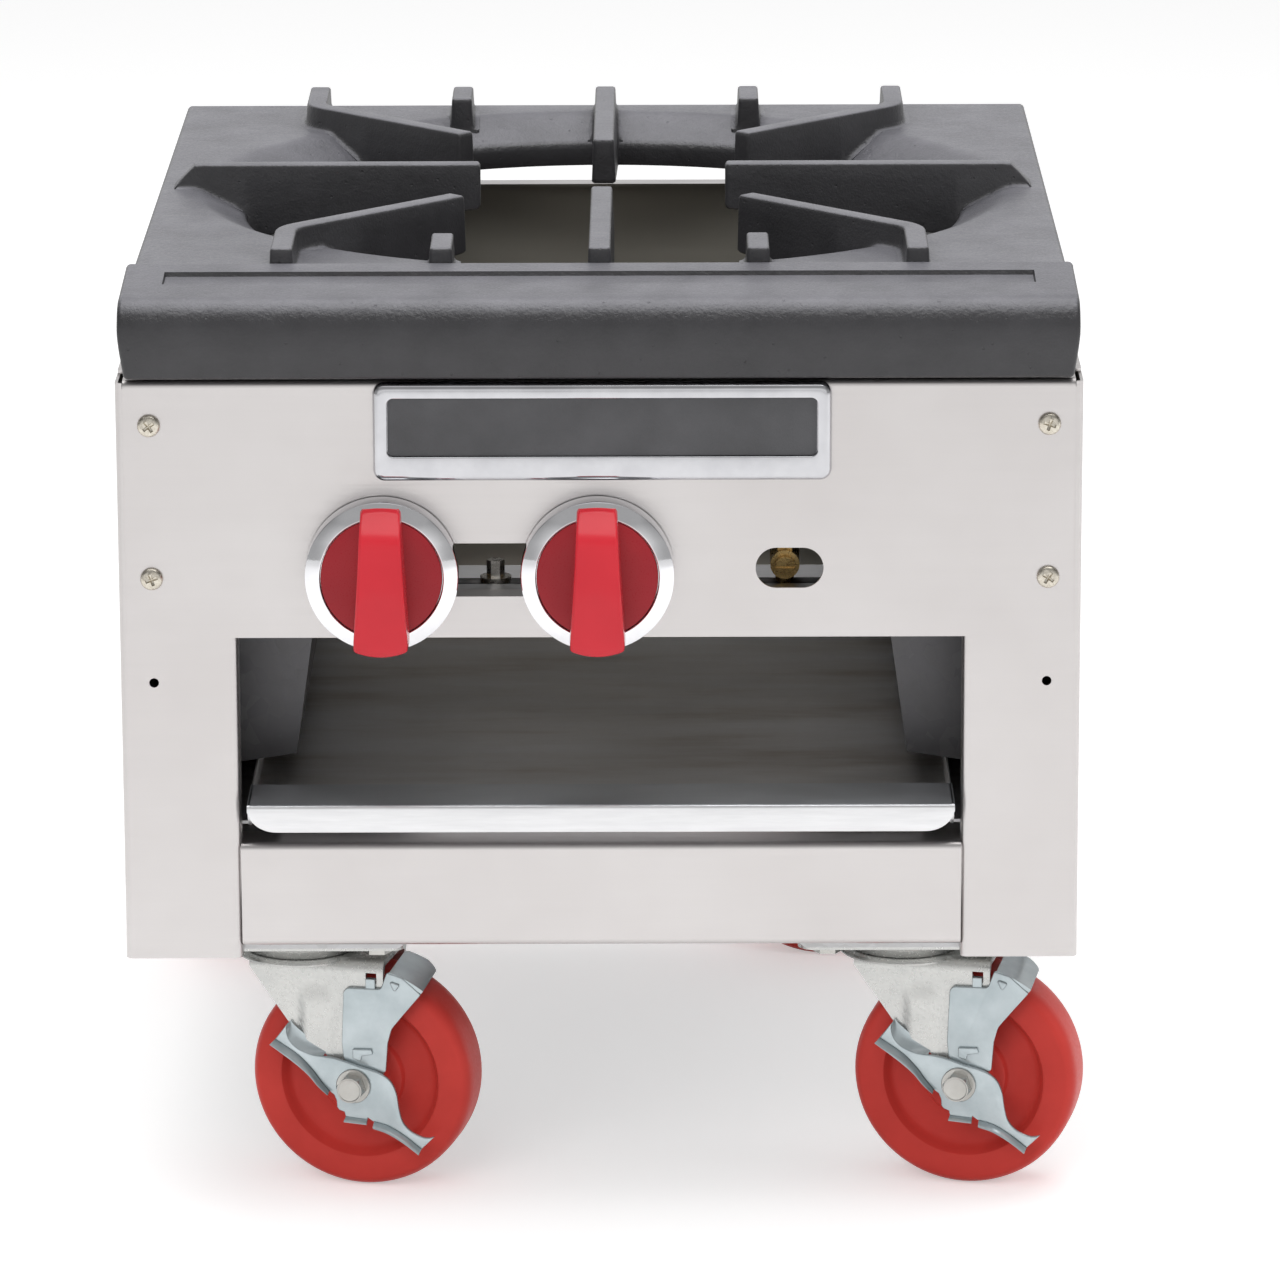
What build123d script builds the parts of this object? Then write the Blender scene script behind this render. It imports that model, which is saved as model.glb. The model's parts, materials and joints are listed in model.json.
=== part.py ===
from build123d import *
from math import atan, cos, degrees, hypot, radians, sin, sqrt, tan
import os

# Stock pot range: one ring burner with two valves under a cast-iron top, on a bent-sheet body
# with a pull-out drip tray and four swivel casters. Millimetres, +Z up, the front faces -Y,
# and the origin is on the floor under the middle of the range.

# ---- body ------------------------------------------------------------------------------------
WIDTH = 457.0               # across the body and across the nose of the cast top
DEPTH = 520.0               # nose of the cast top to its rear edge
LEG_BOTTOM = 130.0          # underside of the body above the floor
BODY_TOP = 414.5            # rim that the cast top rests on
SHEET = 1.5                 # body sheet
BEND = 2.6                  # middle radius of a bend in the body sheet
LEG_WIDTH = 56.0            # front flange of a side, seen as the leg
LEG_RETURN = 14.5           # lip folded back along a leg's inner edge
PANEL_SETBACK = 8.0         # nose of the cast top to the panel's face
BACK_SETBACK = 6.0          # rear edge of the cast top to the body's back
RIM_FLANGE = 20.0           # sides' top flange, under the cast top's skirts

# ---- front panel -----------------------------------------------------------------------------
PANEL_HEIGHT = 125.0
PANEL_INSET = 3.8           # panel edge inside the body's side
PANEL_FLANGE = 22.0         # flanges folded back along the panel's top and bottom edges
SCREW_FROM_SIDE = 16.0      # panel screws, in from the body's sides
SCREW_DROPS = (21.5, 95.9)  # the two rows of panel screws below the rim
SCREW_D = 4.8
SCREW_HEAD_D = 10.8
SCREW_HEAD_H = 3.0
LEG_HOLE_DROP = 147.4       # open hole in each front leg below the rim
LEG_HOLE_D = 4.6
BADGE_SIZE = (216.5, 47.4)
BADGE_X = 1.5                # the badge sits a little to the right of the middle
BADGE_DROP = 24.3           # badge centre below the rim
BADGE_DEPTH = 5.0
BADGE_CORNER = 5.5
FIELD_SIZE = (203.0, 28.0)  # recessed field in the badge
FIELD_DROP = 21.9           # its centre below the rim
FIELD_DEPTH = 2.6
PILOT_WINDOW = (32.2, 19.6)
PILOT_X = 90.0
PILOT_WINDOW_DROP = 91.3
SLOT_HEIGHT = 26.0          # slot that both valve stems pass
SLOT_LIP = 14.0

# ---- knobs and valves ------------------------------------------------------------------------
KNOB_XS = {"left": -103.0, "centre": -1.0}
KNOB_DROP = 92.0            # valve axis below the rim
KNOB_STANDOFF = 1.5
SKIRT_D = 72.7
SKIRT_DEPTH = 15.5
INSERT_D = 57.5
HANDLE_PROUD = 20.0         # handle beyond the skirt's face
HANDLE_UP = 34.7
HANDLE_DOWN = 33.8
HANDLE_TOP_W = 18.5
HANDLE_BOTTOM_W = 25.5
HUB_D = 17.0
STEM_D = 7.0
KNOB_TURN_FIT = 0.08        # stem to valve bonnet, on the radius

# ---- gas line --------------------------------------------------------------------------------
PIPE_D = 21.3
PIPE_BORE = 15.8
MANIFOLD_FRONT = 39.35      # manifold's front behind the panel's face
MANIFOLD_TOP = 16.75        # manifold's top below the valve axis
PIPE_MEET = 1.35            # pipe ends in the elbow, clear of each other's walls
ELBOW_WALL = 3.85           # elbow's bead round the pipe
MANIFOLD_LEFT = -150.0
SUPPLY_FROM_SIDE = 28.5     # supply pipe axis in from the body's right side
SUPPLY_REACH = 29.0         # supply pipe beyond the cast top's rear edge
INLET_D = 20.6              # turned-down end of the supply pipe
INLET_LENGTH = 19.0
VALVE_D = 25.0
VALVE_LENGTH = 34.0

# ---- burner ----------------------------------------------------------------------------------
RING_TOP_DROP = 39.5        # burner's top face below the rim
RING_HEIGHT = 24.0
RING_R = 103.0              # middle radius of the outer ring
RING_W = 26.0
CORE_R = 52.0
BAR_W = 12.0
BAR_T = 6.0
BAR_SPREAD = 45.0           # support bars before and behind the burner's middle
VENTURI_D = 34.0
VENTURI_MOUTH_D = 44.0
VENTURI_MOUTH_BACK = 98.0   # venturi mouth behind the panel's face

# ---- cast top --------------------------------------------------------------------------------
PLATE_RISE = 38.3           # plate's top face above the rim
PLATE_T = 12.0
PLATE_INSET = 2.5           # plate edge inside the nose's ends
SKIRT_T = 12.0
STRIP_RISE = 43.2           # rear edge of the front strip above the rim
STRIP_DEPTH = 74.0          # nose to the strip's rear edge
NOSE_RISE = 37.8            # where the strip turns over into the nose
NOSE_ROUND = 13.0
NOSE_WALL = 13.0
NOSE_TUCK = 3.0             # nose's bottom edge behind its front
DISH_R = 205.0
DISH_DROP = 12.5
OPENING_R = 180.0
FINGER_RISE = 50.0          # pot rest above the rim
FINGER_W = 10.5
FINGER_DRAFT = 2.4
FINGER_END = 217.6          # outer ends of the fingers from the opening's middle
TIP_R = 62.0
DIAGONAL_TIP = (71.0, 82.5)
DIAGONAL_KNEE = (152.3, 163.4)
SHORT_X = 76.0
SHORT_INNER = 179.0
TIP_DEPTH = 22.0            # height of a finger's tip face
STRIP_PAD = (416.0, 35.0, 2.0)  # bare sunk field in the strip: width, depth, how deep
STRIP_PAD_BACK = 39.5       # its middle behind the nose

# ---- tray, shields, crossbars and base -------------------------------------------------------
CROSSBAR_RISE = 6.0         # crossbars' underside above the legs' underside
CROSSBAR_H = 51.2
CROSSBAR_FLANGE = 22.0
TRAY_SIDE_GAP = 4.0         # tray to each leg
TRAY_RISE = 64.7            # tray floor above the legs' underside
TRAY_HEIGHT = 12.9
TRAY_T = 1.2
TRAY_SETBACK = 4.0          # tray's front behind the nose
TRAY_LEDGE = 39.0           # grip ledge along its front
TRAY_REAR_GAP = 34.0
TRAY_CORNER = 10.0
SEAT_GAP = 0.3              # between pieces of different bodies
RUNNER_LEDGE = 72.0
RUNNER_RISE = 14.0
SHIELD_BACK = 77.0          # shields' front wings behind the panel's face
SHIELD_T = 1.2
SHIELD_IN = 33.0            # shield web in from the leg's inner edge
SHIELD_FLARE = 10.0         # its lower edge flares out by this much
SHIELD_DROP = 8.0           # top flange below the rim
SHIELD_KINK_DROP = 132.5
SHIELD_BOTTOM_GAP = 4.0     # above the tray's rim
RAIL_T = 3.0
RAIL_W = 132.0

# ---- casters ---------------------------------------------------------------------------------
CASTER_FROM_SIDE = 81.0     # kingpin in from the body's side
CASTER_FROM_END = 75.0      # kingpin in from the cast top's front and rear edges
CASTER_YAW = 13.0           # how far the rolling line is turned from straight across
WHEEL_D = 110.5
WHEEL_W = 32.0
WHEEL_RECESS_R = 39.3
WHEEL_RECESS = 7.0
TRAIL = 33.0
AXLE_D = 10.0
KINGPIN_D = 12.0
FORK_T = 3.0
FORK_LEG_END = 47.0         # fork's trailing edge behind the kingpin
FORK_LEG_START = 24.0       # fork's leading edge ahead of it
CROWN_GAP = 4.0             # wheel to the underside of the fork's crown
CROWN_R = 32.0
PLATE_SIZE = (105.0, 79.0, 4.5)
BOLT_SPACING = (76.0, 46.0)
BOLT_D = 8.0
HOLE_FIT = 0.25             # bolt to hole, on the radius
RUN_FIT = 0.06              # axle and kingpin to what turns on them, on the radius
HUB_SIDE_GAP = 0.3
BRAKE_T = 2.2
SHOE_TRAVEL = 2.0
LEVER_TILT = 36.7           # the lever's slope down towards the trailing side
PAD_GAP = SHOE_TRAVEL + 1.0 # brake pad to tread at rest

# ---- worked out from the above ---------------------------------------------------------------
HALF = WIDTH / 2
NOSE_Y = -DEPTH / 2
PANEL_Y = NOSE_Y + PANEL_SETBACK
LEG_Y = PANEL_Y + SHEET
BACK_Y = DEPTH / 2 - BACK_SETBACK
LEG_IN = HALF - LEG_WIDTH
BURNER_Y = NOSE_Y + STRIP_DEPTH + FINGER_END
VALVE_Z = BODY_TOP - KNOB_DROP
MANIFOLD_Y = PANEL_Y + MANIFOLD_FRONT + PIPE_D / 2
MANIFOLD_Z = VALVE_Z - MANIFOLD_TOP - PIPE_D / 2
PIPE_END = PIPE_D / 2 + PIPE_MEET
SUPPLY_X = HALF - SUPPLY_FROM_SIDE
TRAY_FLOOR = LEG_BOTTOM + TRAY_RISE
TRAY_RIM = TRAY_FLOOR + TRAY_HEIGHT
RING_TOP = BODY_TOP - RING_TOP_DROP
RING_BOTTOM = RING_TOP - RING_HEIGHT
SHIELD_X = LEG_IN - SHIELD_IN
SIDES = {"left": -1, "right": 1}
NODES = {}


def keep(name, shape):
    """File a finished piece under its name, as separate solids."""
    NODES[name] = shape


def block(x, y, z):
    """A box from its low and high limits along each axis."""
    size = [high - low for low, high in (x, y, z)]
    return Pos(*[(low + high) / 2 for low, high in (x, y, z)]) * Box(*size)


def rod(diameter, start, end):
    """A round bar between two points that differ along one axis."""
    way = Vector(*end) - Vector(*start)
    middle = (Vector(*start) + Vector(*end)) / 2
    plane = Plane(origin=middle, z_dir=way)
    return plane * Cylinder(diameter / 2, way.length)


def hexagon(across_flats, start, end):
    """A hexagon bar between two points."""
    way = Vector(*end) - Vector(*start)
    plane = Plane(origin=Vector(*start), z_dir=way)
    return extrude(plane * RegularPolygon(across_flats / 2, 6, major_radius=False), way.length)


def outline(*points):
    return make_face(Polyline(*points, close=True))


def bent(points, thickness=SHEET, bend=BEND):
    """The section of a bent sheet whose middle line runs through the points."""
    return trace(FilletPolyline(*points, radius=bend), thickness)


def along_x(section, low, high):
    """Carry a section drawn in (Y, Z) along X."""
    return Pos(low, 0, 0) * extrude(Plane.YZ * section, high - low)


def along_y(section, low, high):
    """Carry a section drawn in (X, Z) along Y."""
    return Pos(0, high, 0) * extrude(Plane.XZ * section, high - low)


def along_z(section, low, high):
    return Pos(0, 0, low) * extrude(section, high - low)


def mirrored(shape, side):
    """The piece as drawn for the right, or its mirror image for the left."""
    return shape if side > 0 else mirror(shape, Plane.YZ)


# ---- cast top --------------------------------------------------------------------------------
def finger_outline(points, width):
    """A band of even width along a straight or once-bent line, mitred at the bend."""
    half = width / 2
    ends = []
    for here, there in zip(points, points[1:]):
        dx, dy = there[0] - here[0], there[1] - here[1]
        span = hypot(dx, dy)
        ends.append((-dy / span, dx / span))
    normals = [ends[0]]
    for before, after in zip(ends, ends[1:]):
        mx, my = before[0] + after[0], before[1] + after[1]
        scale = 2 / (mx * mx + my * my)
        normals.append((mx * scale, my * scale))
    normals.append(ends[-1])
    left = [(x + nx * half, y + ny * half) for (x, y), (nx, ny) in zip(points, normals)]
    right = [(x - nx * half, y - ny * half) for (x, y), (nx, ny) in zip(points, normals)]
    return outline(*left, *reversed(right))


def finger(points):
    """One cast finger with drafted sides, from below the plate to the pot rest."""
    low = PLATE_RISE - DISH_DROP - PLATE_T - 6
    wide = FINGER_W + 2 * (FINGER_RISE - low) * tan(radians(FINGER_DRAFT))
    bottom = Pos(0, 0, low) * finger_outline(points, wide)
    top = Pos(0, 0, FINGER_RISE) * finger_outline(points, FINGER_W)
    return loft([bottom.face(), top.face()], ruled=True)


def finger_lines():
    """Plan lines of the twelve fingers, from the opening's middle."""
    lines = []
    for sx, sy in ((1, 1), (1, -1), (-1, 1), (-1, -1)):
        tip = (sx * DIAGONAL_TIP[0], sy * DIAGONAL_TIP[1])
        knee = (sx * DIAGONAL_KNEE[0], sy * DIAGONAL_KNEE[1])
        lines.append((tip, knee, (knee[0], sy * FINGER_END)))
        lines.append(((sx * SHORT_X, sy * SHORT_INNER), (sx * SHORT_X, sy * FINGER_END)))
    for s in (1, -1):
        lines.append(((0, s * TIP_R), (0, s * FINGER_END)))
        lines.append(((s * TIP_R, 0), (s * FINGER_END, 0)))
    return lines


def cast_top():
    """Plate with a dished round opening, twelve fingers, side skirts and a rounded front nose.

    Drawn with the rim at zero height and the opening's middle at the origin, then moved."""
    nose = NOSE_Y - BURNER_Y
    rear = DEPTH / 2 - BURNER_Y
    strip = nose + STRIP_DEPTH
    edge = HALF - PLATE_INSET
    plate_low = PLATE_RISE - PLATE_T
    lip = PLATE_RISE - DISH_DROP

    plate = block((-edge, edge), (strip - 4, rear), (plate_low, PLATE_RISE))
    plate = fillet(plate.faces().sort_by(Axis.Y)[-1].edges().filter_by(Axis.X).sort_by(Axis.Z)[-1:], 3)
    plate -= Cylinder(DISH_R, 4 * PLATE_RISE)
    dish = outline((OPENING_R, lip), (DISH_R, PLATE_RISE), (DISH_R, plate_low), (OPENING_R, lip - PLATE_T))
    top = plate + revolve(Plane.XZ * dish, Axis.Z)

    fingers = [finger(line) for line in finger_lines()]
    solid = fingers[0].fuse(*fingers[1:])
    tip_low = FINGER_RISE - TIP_DEPTH
    far = FINGER_END + 60
    hollow = outline(
        (0, -60), (0, tip_low), (TIP_R, tip_low), (OPENING_R, lip - PLATE_T),
        (DISH_R, plate_low), (far, plate_low), (far, -60),
    )
    solid -= revolve(Plane.XZ * hollow, Axis.Z)
    slope = FINGER_RISE - PLATE_RISE
    wedge = outline(
        (FINGER_END - slope, FINGER_RISE + 1), (FINGER_END - slope, FINGER_RISE),
        (FINGER_END + 1, PLATE_RISE - 1), (FINGER_END + 1, FINGER_RISE + 1),
    )
    for s in (1, -1):
        solid -= mirrored(along_y(wedge, -FINGER_W, FINGER_W), s)
    top += solid

    for s in (1, -1):
        skirt = block((edge - SKIRT_T, edge), (nose + NOSE_WALL, rear), (0, plate_low + 1))
        top += mirrored(skirt, s)

    profile = outline(
        (strip, STRIP_RISE), (nose, NOSE_RISE), (nose, NOSE_RISE - NOSE_ROUND - 2), (nose + NOSE_TUCK, 0),
        (nose + NOSE_TUCK + NOSE_WALL, 0), (nose + NOSE_WALL + 1, plate_low), (strip, plate_low),
    )
    corner = profile.vertices().sort_by_distance((nose, NOSE_RISE))[0]
    profile = fillet(corner, NOSE_ROUND)
    bar = along_x(profile, -HALF, HALF)
    for s in (1, -1):
        end = bar.faces().filter_by(Plane.YZ).sort_by(Axis.X)[-1 if s > 0 else 0]
        rim = [e for e in end.edges() if e.center().Z > plate_low + 1 or e.center().Y < nose + NOSE_TUCK]
        bar = fillet(rim, 5)
    wide, deep, sunk = STRIP_PAD
    pitch = degrees(atan((STRIP_RISE - NOSE_RISE) / STRIP_DEPTH))
    height = NOSE_RISE + (STRIP_RISE - NOSE_RISE) * STRIP_PAD_BACK / STRIP_DEPTH
    pad = Box(wide, deep, 2 * sunk)
    pad = Pos(0, nose + STRIP_PAD_BACK, height) * Rot(pitch, 0, 0) * fillet(pad.edges().filter_by(Axis.Z), 3)
    top = top + bar - pad
    return Pos(0, BURNER_Y, BODY_TOP) * top


# ---- body ------------------------------------------------------------------------------------
def side(sign):
    """Side sheet with its front and rear legs folded round it, lipped, and a flange along the top."""
    t = SHEET / 2
    front, back = LEG_Y + t, BACK_Y - t
    lip = LEG_IN + t
    path = [
        (lip, front + LEG_RETURN - t), (lip, front), (HALF - t, front),
        (HALF - t, back), (lip, back), (lip, back - LEG_RETURN + t),
    ]
    sheet = along_z(bent(path), LEG_BOTTOM, BODY_TOP - SHEET)
    sheet -= block(
        (LEG_IN - 1, HALF - PANEL_INSET + 0.3), (LEG_Y - 1, LEG_Y + BEND), (BODY_TOP - SHEET - BEND, BODY_TOP)
    )
    rim = block(
        (HALF - RIM_FLANGE, HALF), (PANEL_Y + PANEL_FLANGE + 1, BACK_Y), (BODY_TOP - SHEET, BODY_TOP)
    )
    rim = fillet(rim.edges().filter_by(Axis.Z).sort_by(Axis.X)[-2:-1], BEND)
    sheet += rim
    x = HALF - SCREW_FROM_SIDE
    holes = [rod(SCREW_D + 2 * HOLE_FIT, (x, LEG_Y - 5, BODY_TOP - d), (x, LEG_Y + 5, BODY_TOP - d))
             for d in SCREW_DROPS]
    z = BODY_TOP - LEG_HOLE_DROP
    holes.append(rod(LEG_HOLE_D, (x, LEG_Y - 5, z), (x, LEG_Y + 5, z)))
    if sign > 0:
        holes.append(rod(PIPE_D + 1, (SUPPLY_X, BACK_Y - 8, MANIFOLD_Z), (SUPPLY_X, BACK_Y + 8, MANIFOLD_Z)))
    return mirrored(sheet - holes, sign)


def front_panel():
    """Control panel: flanged top and bottom, with the stem slot, the pilot window and screw holes."""
    t = SHEET / 2
    half = HALF - PANEL_INSET
    y, low, high = PANEL_Y + t, BODY_TOP - PANEL_HEIGHT, BODY_TOP - t
    panel = along_x(bent([(y + PANEL_FLANGE - t, high), (y, high), (y, low)]), -half, half)
    lower = bent([(y, low), (y, low + t), (y + PANEL_FLANGE - t, low + t)], bend=0.6)
    panel += along_x(lower, -LEG_IN + 1, LEG_IN - 1)
    for drop in SCREW_DROPS:
        for x in (-HALF + SCREW_FROM_SIDE, HALF - SCREW_FROM_SIDE):
            z = BODY_TOP - drop
            panel -= rod(SCREW_D + 2 * HOLE_FIT, (x, PANEL_Y - 2, z), (x, PANEL_Y + 4, z))
    left, right = min(KNOB_XS.values()), max(KNOB_XS.values())
    slot_x = (left - 0.3 * SKIRT_D, right + 0.3 * SKIRT_D)
    slot_z = (VALVE_Z - SLOT_HEIGHT / 2, VALVE_Z + SLOT_HEIGHT / 2)
    panel -= block(slot_x, (PANEL_Y - 2, PANEL_Y + 4), slot_z)
    panel += block((slot_x[0] + 6, slot_x[1] - 6), (PANEL_Y, PANEL_Y + SLOT_LIP), (slot_z[0] - SHEET, slot_z[0]))
    window = Pos(PILOT_X, BODY_TOP - PILOT_WINDOW_DROP) * SlotOverall(*PILOT_WINDOW)
    panel -= along_y(window, PANEL_Y - 2, PANEL_Y + 4)
    return panel


def panel_screws():
    """Four pan-head screws, each head on the panel and its shank through panel and leg."""
    screws = []
    for drop in SCREW_DROPS:
        for x in (-HALF + SCREW_FROM_SIDE, HALF - SCREW_FROM_SIDE):
            z = BODY_TOP - drop
            head = rod(SCREW_HEAD_D, (x, PANEL_Y - SCREW_HEAD_H, z), (x, PANEL_Y, z))
            head = fillet(head.edges().sort_by(Axis.Y)[0], 2.2)
            screws.append(head + rod(SCREW_D, (x, PANEL_Y, z), (x, LEG_Y + 8, z)))
    return Compound(screws)


def badge_frame():
    """Rounded plate with a sunk field and a bare strip under it."""
    z = BODY_TOP - BADGE_DROP
    plate = along_y(Pos(BADGE_X, z) * RectangleRounded(*BADGE_SIZE, BADGE_CORNER), PANEL_Y - BADGE_DEPTH, PANEL_Y)
    plate = fillet(plate.faces().sort_by(Axis.Y)[0].edges(), 1.8)
    field = Pos(BADGE_X, BODY_TOP - FIELD_DROP) * RectangleRounded(*FIELD_SIZE, 3.0)
    return plate - along_y(field, PANEL_Y - BADGE_DEPTH - 1, PANEL_Y - BADGE_DEPTH + FIELD_DEPTH)


def badge_field():
    """Thin dark plate bedded in the badge's sunk field."""
    inside = RectangleRounded(FIELD_SIZE[0] - 0.4, FIELD_SIZE[1] - 0.4, 2.8)
    floor = PANEL_Y - BADGE_DEPTH + FIELD_DEPTH
    return along_y(Pos(BADGE_X, BODY_TOP - FIELD_DROP) * inside, floor - 1.0, floor)


def back_panel():
    """Rear sheet between the rear legs, folded forward along its top and bottom."""
    t = SHEET / 2
    y = BACK_Y - t
    low, high = LEG_BOTTOM + CROSSBAR_RISE + CROSSBAR_H + 1, BODY_TOP - SHEET
    path = [(y - 14, high - t), (y, high - t), (y, low + t), (y - 14, low + t)]
    return along_x(bent(path), -LEG_IN, LEG_IN)


def crossbar(sign):
    """Channel between two legs; sign -1 is the front one."""
    t = SHEET / 2
    y = LEG_Y + t if sign < 0 else BACK_Y - t
    inner = y - sign * CROSSBAR_FLANGE
    low = LEG_BOTTOM + CROSSBAR_RISE + t
    high = low + CROSSBAR_H - SHEET
    return along_x(bent([(inner, high), (y, high), (y, low), (inner, low)]), -LEG_IN, LEG_IN)


def base_rail(sign):
    """Shallow channel along the foot of a side: the crossbars sit on its inner lip, the casters under it."""
    t = RAIL_T / 2
    outer = HALF - SHEET - t
    inner = HALF - SHEET - RAIL_W + t
    low = LEG_BOTTOM + t
    top = LEG_BOTTOM + CROSSBAR_RISE
    section = bent([(inner, top), (inner, low), (outer, low), (outer, top)], RAIL_T, 3.2)
    rail = along_y(section, LEG_Y + LEG_RETURN + 1, BACK_Y - LEG_RETURN - 1)
    for centre in kingpins():
        if centre[0] > 0:
            for x, y in bolt_places():
                at = (centre[0] + x, centre[1] + y)
                rail -= rod(BOLT_D + 2 * HOLE_FIT, (*at, LEG_BOTTOM - 5), (*at, LEG_BOTTOM + 10))
    return mirrored(rail, sign)


# ---- drip tray, runners and shields ----------------------------------------------------------
def drip_tray():
    """Shallow pan with a folded grip ledge along its front, as wide as the legs leave room for."""
    t = TRAY_T / 2
    half = LEG_IN - TRAY_SIDE_GAP
    front = NOSE_Y + TRAY_SETBACK
    rear = BACK_Y - TRAY_REAR_GAP
    inner = front + TRAY_LEDGE
    path = [
        (rear - t, TRAY_RIM), (rear - t, TRAY_FLOOR + t), (inner, TRAY_FLOOR + t),
        (inner, TRAY_RIM - t), (front + t, TRAY_RIM - t), (front + t, TRAY_FLOOR - 0.5),
    ]
    pan = along_x(bent(path, TRAY_T, 1.6), -half, half)
    corners = [e for e in pan.edges().filter_by(Axis.Y)
               if e.center().Z < TRAY_FLOOR and e.center().Y < front + 2 * TRAY_T]
    pan = fillet(corners, TRAY_CORNER)
    for s in (1, -1):
        wall = block((half - TRAY_T, half), (inner, rear), (TRAY_FLOOR, TRAY_RIM))
        pan += mirrored(wall, s)
    return pan


def tray_runner(sign):
    """Angle along a side that the tray slides on."""
    t = SHEET / 2
    x = HALF - SHEET - t
    z = TRAY_FLOOR - SEAT_GAP - t
    section = bent([(x, z + RUNNER_RISE), (x, z), (x - RUNNER_LEDGE + t, z)])
    return mirrored(along_y(section, LEG_Y + LEG_RETURN + 1, BACK_Y - LEG_RETURN - 1), sign)


def heat_shield(sign):
    """Folded liner beside the burner: a flared web, a flange to the side sheet and a front wing."""
    t = SHIELD_T / 2
    wall = HALF - SHEET - t
    high = BODY_TOP - SHIELD_DROP
    kink = BODY_TOP - SHIELD_KINK_DROP
    low = TRAY_RIM + SHIELD_BOTTOM_GAP
    front = PANEL_Y + SHIELD_BACK
    path = [(wall, high - 14), (wall, high), (SHIELD_X, high), (SHIELD_X, kink), (SHIELD_X + SHIELD_FLARE, low)]
    shield = along_y(bent(path, SHIELD_T, 2), front + SHIELD_T, BACK_Y - LEG_RETURN - 2)
    reach = SUPPLY_X - PIPE_D / 2 - 7
    slope = SHIELD_FLARE / (kink - low)
    outer_low = low - (reach - SHIELD_X - SHIELD_FLARE) * 0.16
    wing = outline(
        (SHIELD_X - t, high), (SHIELD_X - t, kink), (SHIELD_X + SHIELD_FLARE - t, low),
        (reach, outer_low), (reach, high),
    )
    shield += along_y(wing, front, front + SHIELD_T)
    return mirrored(shield, sign)


# ---- burner ----------------------------------------------------------------------------------
def venturi(x, riser_y):
    """Cast mixing tube: a belled mouth at the front, a tapering tube and a riser up to the burner."""
    mouth = PANEL_Y + VENTURI_MOUTH_BACK
    length = riser_y - mouth
    r, bell = VENTURI_D / 2, VENTURI_MOUTH_D / 2
    shape = outline(
        (0, 0), (bell - 4, 0), (bell, 3), (bell, 8), (r - 4, 26), (r - 4, 38),
        (r, length - 20), (r, length), (0, length),
    )
    tube = revolve(shape, Axis.Y)
    tube -= revolve(outline((0, -1), (bell - 6, -1), (r - 8, 24), (r - 8, 60), (0, 60)), Axis.Y)
    tube = Pos(x, mouth, VALVE_Z) * tube
    tube += Pos(x, riser_y, VALVE_Z) * Sphere(r)
    return tube + rod(2 * r - 4, (x, riser_y, VALVE_Z), (x, riser_y, RING_BOTTOM + 2))


def port_ring(radius, count, depth):
    """Gas ports drilled down into a burner's crown on a circle."""
    hole = Pos(radius, 0, RING_TOP - depth / 2) * Box(4, 2.4, 2 * depth)
    return [Pos(0, BURNER_Y, 0) * Rot(0, 0, 360 / count * i) * hole for i in range(count)]


def outer_burner():
    """Outer cast ring on its own mixing tube."""
    inner, outer = RING_R - RING_W / 2, RING_R + RING_W / 2
    section = outline((inner, RING_BOTTOM), (inner, RING_TOP - 6), (inner + 6, RING_TOP),
                      (outer - 6, RING_TOP), (outer, RING_TOP - 6), (outer, RING_BOTTOM))
    ring = Pos(0, BURNER_Y, 0) * revolve(Plane.XZ * section, Axis.Z)
    x = KNOB_XS["left"]
    riser = BURNER_Y - sqrt(max(RING_R ** 2 - x ** 2, 0))
    return ring + venturi(x, riser) - port_ring(RING_R, 28, 3)


def inner_burner():
    """Inner cast head, a dished disc, on its own mixing tube, which passes under the outer ring."""
    section = outline((0, RING_BOTTOM), (0, RING_TOP - 8), (CORE_R - 20, RING_TOP - 8), (CORE_R - 14, RING_TOP),
                      (CORE_R - 5, RING_TOP), (CORE_R, RING_TOP - 5), (CORE_R, RING_BOTTOM))
    head = Pos(0, BURNER_Y, 0) * revolve(Plane.XZ * section, Axis.Z)
    return head + venturi(KNOB_XS["centre"], BURNER_Y) - port_ring(CORE_R - 9.5, 16, 3)


def burner_bars():
    """Two flat bars from shield to shield that both burners rest on."""
    reach = SHIELD_X - SHIELD_T / 2
    bars = []
    for s in (-1, 1):
        y = BURNER_Y + s * BAR_SPREAD
        bars.append(block((-reach, reach), (y - BAR_W / 2, y + BAR_W / 2), (RING_BOTTOM - BAR_T, RING_BOTTOM)))
    return Compound(bars)


def air_shutters():
    """A slotted disc on each venturi mouth."""
    shutters = []
    mouth = PANEL_Y + VENTURI_MOUTH_BACK
    for x in KNOB_XS.values():
        disc = rod(VENTURI_MOUTH_D + 4, (x, mouth - 1.5, VALVE_Z), (x, mouth, VALVE_Z))
        disc -= rod(13, (x, mouth - 3, VALVE_Z), (x, mouth + 3, VALVE_Z))
        window = along_y(Circle(16) - Circle(10) - Rectangle(60, 9), mouth - 3, mouth + 3)
        shutters.append(disc - Pos(x, 0, VALVE_Z) * window)
    return Compound(shutters)


# ---- gas line --------------------------------------------------------------------------------
def pipe(start, end):
    return rod(PIPE_D, start, end) - rod(PIPE_BORE, start, end)


def manifold_envelope(extra=0.0):
    return rod(PIPE_D + extra, (-HALF, MANIFOLD_Y, MANIFOLD_Z), (HALF, MANIFOLD_Y, MANIFOLD_Z))


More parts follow.
